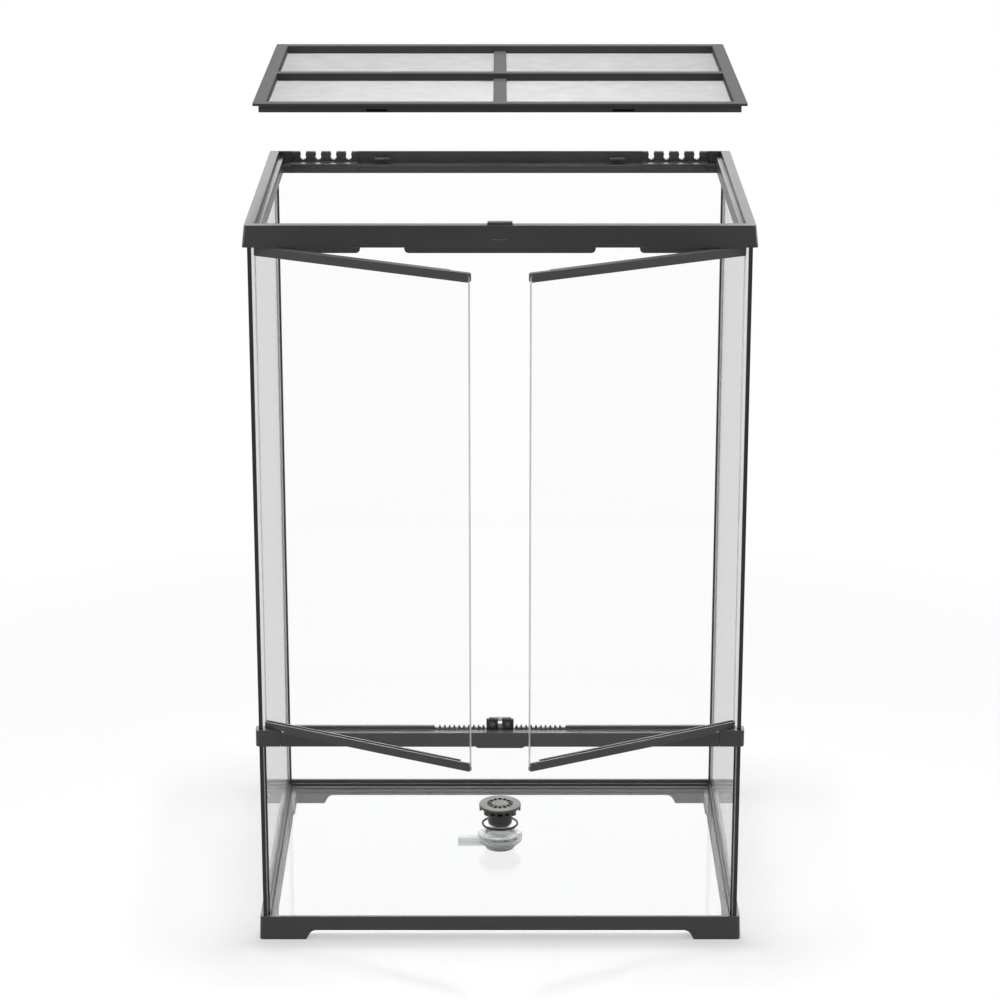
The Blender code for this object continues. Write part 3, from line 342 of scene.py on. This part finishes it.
def makeFrosted(name, look):
    made, tree, shader = startMaterial(name)
    coords = addNode(tree, "ShaderNodeTexCoord").outputs["Object"]
    flow = noiseNode(tree, coords, look["flowScale"], 4.0, 0.6)
    frost = noiseNode(tree, coords, look["frostScale"], 3.0, 0.6)
    colour = toned(tree, flow, look["colour"], look["tones"])
    bump = addNode(
        tree, "ShaderNodeBump", {"Strength": look["frost"], "Distance": look["frostDepth"], "Height": frost}
    )
    least, most = look["rough"] - look["roughSpread"], look["rough"] + look["roughSpread"]
    tree.links.new(colour, shader.inputs["Base Color"])
    tree.links.new(remap(tree, flow, 0.3, 0.7, least, most), shader.inputs["Roughness"])
    tree.links.new(bump.outputs["Normal"], shader.inputs["Normal"])
    shader.inputs["IOR"].default_value = look["ior"]
    shader.inputs["Transmission Weight"].default_value = look["through"]
    return made


metalBase = {
    "brush": 0.25, "brushDepth": 0.00004, "stainScale": 35.0, "tones": (0.95, 1.04), "roughSpread": 0.04,
}
metalLooks = {
    "platedSteel": {"colour": (0.56, 0.56, 0.57), "rough": 0.28, "metallic": 1.0, "brushScale": 1500.0},
    "screenWire": {"colour": (0.32, 0.32, 0.32), "rough": 0.45, "metallic": 0.5, "brushScale": 3000.0},
}


def makeMetal(name, look):
    made, tree, shader = startMaterial(name)
    coords = addNode(tree, "ShaderNodeTexCoord").outputs["Object"]
    brushed = noiseNode(tree, coords, look["brushScale"], 3.0, 0.6)
    stain = noiseNode(tree, coords, look["stainScale"], 3.0, 0.6)
    colour = toned(tree, stain, look["colour"], look["tones"], (0.35, 0.7))
    bump = addNode(
        tree, "ShaderNodeBump", {"Strength": look["brush"], "Distance": look["brushDepth"], "Height": brushed}
    )
    least, most = look["rough"] - look["roughSpread"], look["rough"] + look["roughSpread"]
    tree.links.new(colour, shader.inputs["Base Color"])
    tree.links.new(remap(tree, stain, 0.3, 0.75, most, least), shader.inputs["Roughness"])
    tree.links.new(bump.outputs["Normal"], shader.inputs["Normal"])
    shader.inputs["Metallic"].default_value = look["metallic"]
    return made


for name, look in glassLooks.items():
    materials[name] = makeGlass(name, look)
materials["groundGlassEdge"] = makeGroundEdge()
for name, look in frostLooks.items():
    materials[name] = makeFrosted(name, {**frostBase, **look})
for name, look in metalLooks.items():
    materials[name] = makeMetal(name, {**metalBase, **look})
print("materials made:", len(materials))


bodyOf = {part: body for body, parts in frame["record"]["behaviour"]["bodies"].items() for part in parts}


roundingRules = {
    "mergeWithin": 0.000004,
    "flatWithin": 0.6,  # degrees
    "sharpFrom": 28.0,  # edges that turn by more degrees than this are rounded
    "shadeSharpFrom": 32.0,
    "room": 2.4,  # widths that a face needs beside a fully rounded edge
    "leastShare": 0.3,  # an edge with less room stays sharp
    "leastStep": 0.00002,
}
shellLimits = {"past": 0.00005, "area": 0.002, "leastVolume": 0.9, "mostVolume": 1.002}


def spanBeside(loop, edge):
    # how far the face beside an edge reaches, square to the edge, at the end where it reaches less
    along = (edge.verts[1].co - edge.verts[0].co).normalized()
    reach = []
    for step in ("link_loop_next", "link_loop_prev"):
        walker = getattr(loop, step)
        start = walker.vert.co if step == "link_loop_next" else walker.link_loop_next.vert.co
        for _ in range(3):  # past corners that lie on the edge's own line
            far = walker.link_loop_next.vert.co if step == "link_loop_next" else walker.vert.co
            across = (far - start) - along * (far - start).dot(along)
            if across.length > roundingRules["leastStep"]:
                break
            walker = getattr(walker, step)
        reach.append(across.length)
    return min(reach)


def roundedCopy(part, width, segments=2, sharpFrom=roundingRules["sharpFrom"]):
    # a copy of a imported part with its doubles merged, its flats joined and its edges rounded
    bm = bmesh.new()
    bm.from_mesh(nodes[part].data)
    bmesh.ops.remove_doubles(bm, verts=bm.verts, dist=roundingRules["mergeWithin"])
    bmesh.ops.dissolve_limit(
        bm,
        angle_limit=math.radians(roundingRules["flatWithin"]),
        verts=bm.verts,
        edges=bm.edges,
        use_dissolve_boundaries=False,
    )
    bmesh.ops.connect_verts_concave(bm, faces=[face for face in bm.faces if len(face.verts) > 4])
    mesh = bpy.data.meshes.new(part + "_shell")
    weights = []
    limit = math.radians(sharpFrom)
    bm.edges.index_update()
    for edge in bm.edges:
        fits = len(edge.link_faces) == 2 and edge.calc_face_angle(0) > limit
        if fits:
            room = min(spanBeside(loop, edge) for loop in edge.link_loops)
            needed = roundingRules["room"] * width
            share = min(1.0, room / needed, edge.calc_length() / needed)
            weights.append(share if share > roundingRules["leastShare"] else 0.0)
        else:
            weights.append(0.0)
    bm.to_mesh(mesh)
    bm.free()
    weight = mesh.attributes.new("bevel_weight_edge", "FLOAT", "EDGE")
    weight.data.foreach_set("value", weights)
    made = bpy.data.objects.new(part + "_shell", mesh)
    bpy.context.scene.collection.objects.link(made)
    mesh.shade_smooth()
    mesh.set_sharp_from_angle(angle=math.radians(roundingRules["shadeSharpFrom"]))
    rounding = made.modifiers.new("edges", "BEVEL")
    rounding.limit_method = "WEIGHT"
    rounding.width = width
    rounding.segments = segments
    rounding.use_clamp_overlap = False
    rounding.harden_normals = True
    rounding.miter_outer = "MITER_SHARP"
    bpy.context.view_layer.update()
    graph = bpy.context.evaluated_depsgraph_get()
    finished = bpy.data.meshes.new_from_object(made.evaluated_get(graph))
    made.modifiers.clear()
    made.data = finished
    bpy.data.meshes.remove(mesh)
    finished.name = made.name
    return made


def shellIsSound(obj, part):
    # closed, right way out, without folded faces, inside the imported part's box and nearly as full
    bm = bmesh.new()
    bm.from_mesh(obj.data)
    closed = all(len(edge.link_faces) == 2 for edge in bm.edges)
    volume = bm.calc_volume(signed=True)
    bm.clear()
    bm.from_mesh(nodes[part].data)
    packed = bm.calc_volume(signed=True)
    bm.free()
    obj.data.calc_loop_triangles()
    filled = sum(piece.area for piece in obj.data.loop_triangles)
    flat = sum(face.area for face in obj.data.polygons)
    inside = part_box(part)
    low = [min(v.co[i] for v in obj.data.vertices) for i in range(3)]
    high = [max(v.co[i] for v in obj.data.vertices) for i in range(3)]
    past = shellLimits["past"]
    kept = all(low[i] > inside[0][i] - past and high[i] < inside[1][i] + past for i in range(3))
    sameArea = abs(filled - flat) < shellLimits["area"] * flat
    sameVolume = shellLimits["leastVolume"] * packed < volume < shellLimits["mostVolume"] * packed
    return closed and kept and sameArea and sameVolume


def dress(obj, part, *looks):
    obj.data.materials.clear()
    for look in looks:
        obj.data.materials.append(materials[look])
    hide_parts(part)
    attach(obj, bodyOf[part])


def paintNode(part, look):
    data = nodes[part].data
    data.materials.clear()
    data.materials.append(materials[look])


frameRounding = {
    "base_frame": 0.0005,
    "top_rim": 0.0004,
    "mid_rail": 0.0003,
    "left_rail_end": 0.0004,
    "right_rail_end": 0.0004,
    "left_inlet_slider": 0.0003,
    "right_inlet_slider": 0.0003,
    "lid_frame": 0.0005,
    "lid_latch": 0.0004,
    "left_door_catch": 0.0003,
    "right_door_catch": 0.0003,
    "latch_bracket": 0.0002,
    "door_latch_button": 0.0002,
    "drain_nut": 0.0004,
    "drain_flange": 0.0003,
    "drain_gasket": 0.0002,
    "drain_body": 0.0003,
    "strainer": 0.0003,
    "left_catch_magnet": 0.0002,
    "right_catch_magnet": 0.0002,
}
for side in ("left", "right"):
    for piece in ("top_rail", "bottom_rail", "top_end_cap", "bottom_end_cap"):
        frameRounding[f"{side}_door_{piece}"] = 0.0003
frameLooks = {
    # the lid frame gets the lighter copy, painted light
    "lid_frame": "lidPlastic",
    "left_door_catch": "catchPlastic",
    "right_door_catch": "catchPlastic",
    "latch_bracket": "latchGreyPlastic",
    "door_latch_button": "latchGreyPlastic",
    "drain_nut": "frostedPlastic",
    "drain_flange": "frostedPlastic",
    "drain_gasket": "frostedPlastic",
    "drain_body": "frostedBody",
    "strainer": "strainerPlastic",
    "left_catch_magnet": "magnetCoat",
    "right_catch_magnet": "magnetCoat",
}
shells = {}
for part, width in frameRounding.items():
    look = frameLooks.get(part, "framePlastic")
    for share in (1.0, 0.5):
        shell = roundedCopy(part, width * share)
        if shellIsSound(shell, part):
            dress(shell, part, look)
            shells[part] = shell
            break
        bpy.data.objects.remove(shell)
        print("edges not rounded at", width * share, "on", part)
    else:
        paintNode(part, look)
print("frames and rails rounded:", len(shells), "of", len(frameRounding))


def paintWithin(part, look, test):
    # gives the faces of a shell whose centres pass a test a second material
    if part not in shells:
        print("no shell to paint on", part)
        return
    data = shells[part].data
    data.materials.append(materials[look])
    chosen = [face for face in data.polygons if test(face.center)]
    for face in chosen:
        face.material_index = len(data.materials) - 1
    print(look, "on", part, len(chosen), "faces")


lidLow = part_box("lid_frame")[0]
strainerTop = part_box("strainer")[1].z
drainLow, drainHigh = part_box("drain_flange")
drainCentre = (drainLow + drainHigh) / 2
# where the lid skirt's slots get painted shade
skirtSlot = {
    "x": 0.145, "halfWidth": 0.0127, "overhang": 0.0065, "depth": (0.0002, 0.0032), "rise": (0.0010, 0.0039),
}
# where the drain body gets painted shade
seatRing = {"radius": 0.0152, "top": 0.0112}
# where the strainer's slots, windows and bore get painted shade
strainerShade = {
    "capTop": 0.0012,  # depths below the top of the cap's boss
    "capUnderside": 0.0046,
    "windowsEnd": 0.0142,
    "slotRadii": (0.0108, 0.0178),
    "windowRadius": 0.0172,
    "boreRadius": 0.0150,
}


# faces in the lid skirt's slots, which get painted shade
def inSkirtSlot(at):
    inward = at.y - lidLow.y - skirtSlot["overhang"]
    rise = at.z - lidLow.z
    return (
        abs(abs(at.x) - skirtSlot["x"]) < skirtSlot["halfWidth"]
        and skirtSlot["depth"][0] < inward < skirtSlot["depth"][1]
        and skirtSlot["rise"][0] < rise < skirtSlot["rise"][1]
    )


def fromDrain(at):
    return math.hypot(at.x - drainCentre.x, at.y - drainCentre.y)


# faces of the drain body near its axis and low down, which get painted shade
def inSeatRing(at):
    return fromDrain(at) < seatRing["radius"] and at.z < seatRing["top"]


def inStrainer(at):
    # the walls of the slots and windows, and the bore, which get painted shade
    away = fromDrain(at)
    drop = strainerTop - at.z
    if drop < strainerShade["capUnderside"]:
        inner, outer = strainerShade["slotRadii"]
        return drop > strainerShade["capTop"] and inner < away < outer
    if drop < strainerShade["windowsEnd"]:
        return away < strainerShade["windowRadius"]
    return away < strainerShade["boreRadius"]


# painted shade: the walls of the lid skirt's slots near-black
paintWithin("lid_frame", "slotShade", inSkirtSlot)
# painted shade: the inner lower faces of the drain body dark
paintWithin("drain_body", "frostedShade", inSeatRing)
# painted shade: the strainer's slot and window walls and its bore near-black
paintWithin("strainer", "slotShade", inStrainer)


paneLook = {"arris": 0.0005, "sharpFrom": 60.0, "faceWithin": 0.99}
panes = (
    "bottom_glass", "left_side_glass", "right_side_glass", "rear_glass", "front_lower_glass",
    "left_door_glass", "right_door_glass",
)


def makePane(part):
    pane = roundedCopy(part, paneLook["arris"], 1, paneLook["sharpFrom"])
    biggest = max(pane.data.polygons, key=lambda face: face.area).normal.copy()
    dress(pane, part, "floorGlass" if part == "bottom_glass" else "tankGlass", "groundGlassEdge")
    for face in pane.data.polygons:
        face.material_index = 0 if abs(face.normal.dot(biggest)) > paneLook["faceWithin"] else 1


for part in panes:
    makePane(part)
print("panes made")


screenLook = {"pitch": 0.0015, "wireRadius": 0.00014, "sides": 6}


def screenTree():
    # two layers of straight wires that cross, one along X and one along Y
    tree = bpy.data.node_groups.new("lidScreen", "GeometryNodeTree")
    face = tree.interface
    face.new_socket("Geometry", in_out="OUTPUT", socket_type="NodeSocketGeometry")
    pitch, radius = screenLook["pitch"], screenLook["wireRadius"]
    for label, value in (("Length", 0.5), ("Width", 0.4), ("Pitch", pitch), ("Wire Radius", radius)):
        socket = face.new_socket(label, in_out="INPUT", socket_type="NodeSocketFloat")
        socket.default_value = value
    face.new_socket("Centre", in_out="INPUT", socket_type="NodeSocketVector")
    face.new_socket("Wire Material", in_out="INPUT", socket_type="NodeSocketMaterial")
    given, out = addNode(tree, "NodeGroupInput"), addNode(tree, "NodeGroupOutput")
    join = addNode(tree, "GeometryNodeJoinGeometry")
    layers = (
        ("Length", "Width", "Y", (0, math.pi / 2, 0), 1.0),
        ("Width", "Length", "X", (math.pi / 2, 0, 0), -1.0),
    )
    for along, across, axis, turn, level in layers:
        wires = mathNode(tree, "DIVIDE", given.outputs[across], given.outputs["Pitch"])
        wires = mathNode(tree, "FLOOR", wires)
        reach = mathNode(tree, "MULTIPLY", mathNode(tree, "SUBTRACT", wires, 1.0), given.outputs["Pitch"])
        start = mathNode(tree, "MULTIPLY", reach, -0.5)
        height = mathNode(tree, "MULTIPLY", given.outputs["Wire Radius"], level)
        begin = addNode(tree, "ShaderNodeCombineXYZ", {axis: start, "Z": height}).outputs[0]
        step = addNode(tree, "ShaderNodeCombineXYZ", {axis: given.outputs["Pitch"]}).outputs[0]
        row = addNode(
            tree, "GeometryNodeMeshLine", {"Count": wires, "Start Location": begin, "Offset": step}
        ).outputs["Mesh"]
        wire = addNode(
            tree,
            "GeometryNodeMeshCylinder",
            {
                "Vertices": screenLook["sides"],
                "Radius": given.outputs["Wire Radius"],
                "Depth": given.outputs[along],
            },
        ).outputs["Mesh"]
        placed = addNode(
            tree, "GeometryNodeInstanceOnPoints", {"Points": row, "Instance": wire, "Rotation": turn}
        ).outputs["Instances"]
        tree.links.new(placed, join.inputs["Geometry"])
    moved = addNode(
        tree, "GeometryNodeTransform", {"Geometry": join.outputs[0], "Translation": given.outputs["Centre"]}
    )
    solid = addNode(tree, "GeometryNodeRealizeInstances", {"Geometry": moved.outputs[0]})
    painted = addNode(
        tree,
        "GeometryNodeSetMaterial",
        {"Geometry": solid.outputs[0], "Material": given.outputs["Wire Material"]},
    )
    tree.links.new(painted.outputs[0], out.inputs["Geometry"])
    return tree


def runTree(name, tree, values):
    made = bpy.data.objects.new(name, bpy.data.meshes.new(name))
    bpy.context.scene.collection.objects.link(made)
    step = made.modifiers.new("build", "NODES")
    step.node_group = tree
    for item in tree.interface.items_tree:
        if item.item_type == "SOCKET" and item.in_out == "INPUT" and item.name in values:
            step[item.identifier] = values[item.name]
    bpy.context.view_layer.update()
    graph = bpy.context.evaluated_depsgraph_get()
    plain = bpy.data.meshes.new_from_object(made.evaluated_get(graph))
    made.modifiers.remove(step)
    made.data = plain
    plain.name = name
    return made


def makeScreen():
    low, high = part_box("lid_mesh")
    middle = (low + high) / 2
    values = {
        "Length": high.x - low.x,
        "Width": high.y - low.y,
        "Pitch": screenLook["pitch"],
        "Wire Radius": screenLook["wireRadius"],
        "Centre": middle,
        "Wire Material": materials["screenWire"],
    }
    screen = runTree("lid_screen", screenTree(), values)
    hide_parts("lid_mesh")
    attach(screen, "lid")
    print("screen wires made:", len(screen.data.polygons), "faces")


makeScreen()


threadLook = {
    "turns": 3.6,
    "pitch": 0.0030,
    "steps": 40,  # in one turn
    "fadeSteps": 10,
    "root": 0.0155,  # sunk into the barrel
    "start": 0.0160,
    "crest": 0.0168,
    "flank": 0.0011,
    "crown": 0.0004,
    "lowest": 0.0022,
    "sharpFrom": 40.0,
}


def makeThread():
    # one closed ridge that winds up the barrel and runs out at both ends
    low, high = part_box("strainer")
    centre = (low + high) / 2
    steps = int(threadLook["turns"] * threadLook["steps"])
    bm = bmesh.new()
    rings = []
    for step in range(steps + 1):
        angle = 2 * math.pi * step / threadLook["steps"]
        fade = min(1.0, step / threadLook["fadeSteps"], (steps - step) / threadLook["fadeSteps"])
        crest = threadLook["start"] + (threadLook["crest"] - threadLook["start"]) * fade
        middle = low.z + threadLook["lowest"] + threadLook["pitch"] * step / threadLook["steps"]
        section = (
            (threadLook["root"], middle - threadLook["flank"]),
            (crest, middle - threadLook["crown"]),
            (crest, middle + threadLook["crown"]),
            (threadLook["root"], middle + threadLook["flank"]),
        )
        cosine, sine = math.cos(angle), math.sin(angle)
        rings.append([bm.verts.new((centre.x + r * cosine, centre.y + r * sine, z)) for r, z in section])
    for first, second in zip(rings, rings[1:]):
        for n in range(4):
            bm.faces.new((first[n], second[n], second[(n + 1) % 4], first[(n + 1) % 4]))
    bm.faces.new(rings[0])
    bm.faces.new(rings[-1][::-1])
    bmesh.ops.recalc_face_normals(bm, faces=bm.faces)
    mesh = bpy.data.meshes.new("strainer_thread")
    bm.to_mesh(mesh)
    bm.free()
    mesh.shade_smooth()
    mesh.set_sharp_from_angle(angle=math.radians(threadLook["sharpFrom"]))
    mesh.materials.append(materials["strainerPlastic"])
    thread = bpy.data.objects.new("strainer_thread", mesh)
    bpy.context.scene.collection.objects.link(thread)
    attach(thread, bodyOf["strainer"])
    print("thread made:", len(mesh.polygons), "faces")


makeThread()


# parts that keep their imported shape
keptLooks = {"floor_seal": "siliconeSeal", "o_ring": "ringRubber"}
for side in ("left", "right"):
    keptLooks[f"rear_{side}_seal"] = keptLooks[f"front_{side}_seal"] = "siliconeSeal"
    keptLooks[f"{side}_lower_edge_trim"] = keptLooks[f"{side}_upper_edge_trim"] = "siliconeSeal"
    for piece in ("upper_pin", "lower_pin", "striker"):
        keptLooks[f"{side}_door_{piece}"] = "platedSteel"
for part, look in keptLooks.items():
    paintNode(part, look)


stageLook = {
    "floorRadius": 14.0,
    "floorSegments": 96,
    "floorColour": (0.56, 0.56, 0.56),
    "floorRough": 0.9,
    "floorSpecular": 0.1,
    "floorMirrored": 0.65,  # the floor's level in a reflection
    "shadowKept": 0.62,
    "whiteFrom": 0.55,  # the floor fades to plain white between these distances
    "whiteTo": 1.5,
}
roomLook = {
    "diffuseLevel": 0.22,
    "frontLevel": 0.30,
    "rearLow": 0.35,
    "rearMiddle": 1.5,
    "rearHigh": 3.2,
    "aboveLevel": 0.75,
    "lowRise": (0.10, 0.22),  # heights of a direction between which the level changes
    "highRise": (0.24, 0.34),
    "aboveRise": (0.5, 0.9),
    "turn": (-0.5, 0.45),  # from the camera's side to behind the object
}


def seenDirectly(tree):
    # what the camera sees straight or through glass, kept apart from what it sees in a reflection
    path = addNode(tree, "ShaderNodeLightPath")
    seen = mathNode(tree, "MAXIMUM", path.outputs["Is Camera Ray"], path.outputs["Is Transmission Ray"])
    mirrored = mathNode(tree, "GREATER_THAN", path.outputs["Glossy Depth"], 0.5)
    mirrored = mathNode(tree, "MULTIPLY", mirrored, path.outputs["Is Transmission Ray"])
    return path, mathNode(tree, "SUBTRACT", seen, mirrored, True), mirrored


def makeFloor():
    bm = bmesh.new()
    bmesh.ops.create_circle(
        bm, cap_ends=True, segments=stageLook["floorSegments"], radius=stageLook["floorRadius"]
    )
    mesh = bpy.data.meshes.new("floor")
    bm.to_mesh(mesh)
    bm.free()
    floor = bpy.data.objects.new("floor", mesh)
    bpy.context.scene.collection.objects.link(floor)
    made, tree, shader = startMaterial("paleFloor")
    shader.inputs["Base Color"].default_value = (*stageLook["floorColour"], 1)
    shader.inputs["Roughness"].default_value = stageLook["floorRough"]
    shader.inputs["Specular IOR Level"].default_value = stageLook["floorSpecular"]
    coords = addNode(tree, "ShaderNodeTexCoord").outputs["Object"]
    away = addNode(tree, "ShaderNodeVectorMath", {0: coords}, operation="LENGTH").outputs["Value"]
    plain = 1 - stageLook["shadowKept"]
    share = remap(tree, away, stageLook["whiteFrom"], stageLook["whiteTo"], plain, 1.0)
    path, seen, mirrored = seenDirectly(tree)
    mirrored = mathNode(tree, "MAXIMUM", mirrored, path.outputs["Is Glossy Ray"])
    dimmed = mathNode(tree, "MULTIPLY", mirrored, stageLook["floorMirrored"])
    level = mathNode(tree, "ADD", seen, dimmed, True)
    share = mathNode(tree, "MAXIMUM", mathNode(tree, "MULTIPLY", seen, share), mirrored)
    white = addNode(tree, "ShaderNodeEmission", {"Color": (1, 1, 1, 1), "Strength": level})
    both = addNode(tree, "ShaderNodeMixShader", {0: share, 1: shader.outputs[0], 2: white.outputs[0]})
    tree.links.new(both.outputs[0], tree.nodes["Material Output"].inputs["Surface"])
    mesh.materials.append(made)


def makeWorld():
    world = bpy.data.worlds.new("studio")
    bpy.context.scene.world = world
    world.use_nodes = True
    tree = world.node_tree
    room = tree.nodes["Background"]
    coords = addNode(tree, "ShaderNodeTexCoord").outputs["Generated"]
    parts = addNode(tree, "ShaderNodeSeparateXYZ", {0: coords})
    # mirrored: brighter behind and above the object, darker on the camera's side
    rise = parts.outputs["Z"]
    low = remap(tree, rise, *roomLook["lowRise"], roomLook["rearLow"], roomLook["rearMiddle"])
    high = remap(tree, rise, *roomLook["highRise"], 0.0, roomLook["rearHigh"] - roomLook["rearMiddle"])
    behind = mathNode(tree, "ADD", low, high)
    share = remap(tree, parts.outputs["Y"], *roomLook["turn"])
    behind = mathNode(tree, "MULTIPLY", behind, share)
    front = mathNode(tree, "MULTIPLY", mathNode(tree, "SUBTRACT", 1.0, share), roomLook["frontLevel"])
    above = remap(tree, rise, *roomLook["aboveRise"], 0.0, roomLook["aboveLevel"])
    level = mathNode(tree, "MAXIMUM", mathNode(tree, "ADD", behind, front), above)
    path, seen, _ = seenDirectly(tree)
    share = path.outputs["Is Diffuse Ray"]
    level = mathNode(
        tree,
        "ADD",
        mathNode(tree, "MULTIPLY", level, mathNode(tree, "SUBTRACT", 1.0, share)),
        mathNode(tree, "MULTIPLY", share, roomLook["diffuseLevel"]),
    )
    tree.links.new(level, room.inputs["Strength"])
    room.inputs["Color"].default_value = (1, 1, 1, 1)
    white = addNode(tree, "ShaderNodeBackground", {"Color": (1, 1, 1, 1), "Strength": 1.0})
    both = addNode(tree, "ShaderNodeMixShader", {0: seen, 1: room.outputs[0], 2: white.outputs[0]})
    tree.links.new(both.outputs[0], tree.nodes["World Output"].inputs["Surface"])


lamps = {
    "overheadKey": {"at": (0.0, 0.05, 3.4), "aim": (0.0, 0.05, 0.0), "size": (0.4, 0.4), "power": 92.0},
    "leftSoftbox": {"at": (-2.4, -1.8, 1.9), "aim": (0, 0, 0.5), "size": (1.6, 1.6), "power": 30.0},
    "rightSoftbox": {"at": (2.4, -1.8, 1.9), "aim": (0, 0, 0.5), "size": (1.6, 1.6), "power": 30.0},
    "leftStrip": {"at": (-2.6, -0.15, 0.8), "aim": (0, -0.15, 0.8), "size": (0.7, 1.8), "power": 26.0},
    "rightStrip": {"at": (2.6, -0.15, 0.8), "aim": (0, -0.15, 0.8), "size": (0.7, 1.8), "power": 26.0},
}


def makeLamps():
    for name, values in lamps.items():
        lamp = bpy.data.lights.new(name, "AREA")
        lamp.shape = "RECTANGLE"
        lamp.size, lamp.size_y = values["size"]
        lamp.energy = values["power"]
        made = bpy.data.objects.new(name, lamp)
        made.location = values["at"]
        made.rotation_euler = (Vector(values["aim"]) - made.location).to_track_quat("-Z", "Y").to_euler()
        made.visible_camera = False
        made.visible_transmission = False
        bpy.context.scene.collection.objects.link(made)


cameraLook = {"at": (0.0, -3.793, 1.732), "pitch": 17.54, "lens": 112.84, "sensor": 36.0}


def makeCamera():
    lens = bpy.data.cameras.new("photoCamera")
    lens.sensor_width = cameraLook["sensor"]
    lens.lens = cameraLook["lens"]
    camera = bpy.data.objects.new("photoCamera", lens)
    camera.location = cameraLook["at"]
    camera.rotation_euler = (math.radians(90 - cameraLook["pitch"]), 0, 0)
    bpy.context.scene.collection.objects.link(camera)
    bpy.context.scene.camera = camera


makeFloor()
makeWorld()
makeLamps()
makeCamera()
bpy.context.scene.view_settings.view_transform = "Standard"
print("stage set")
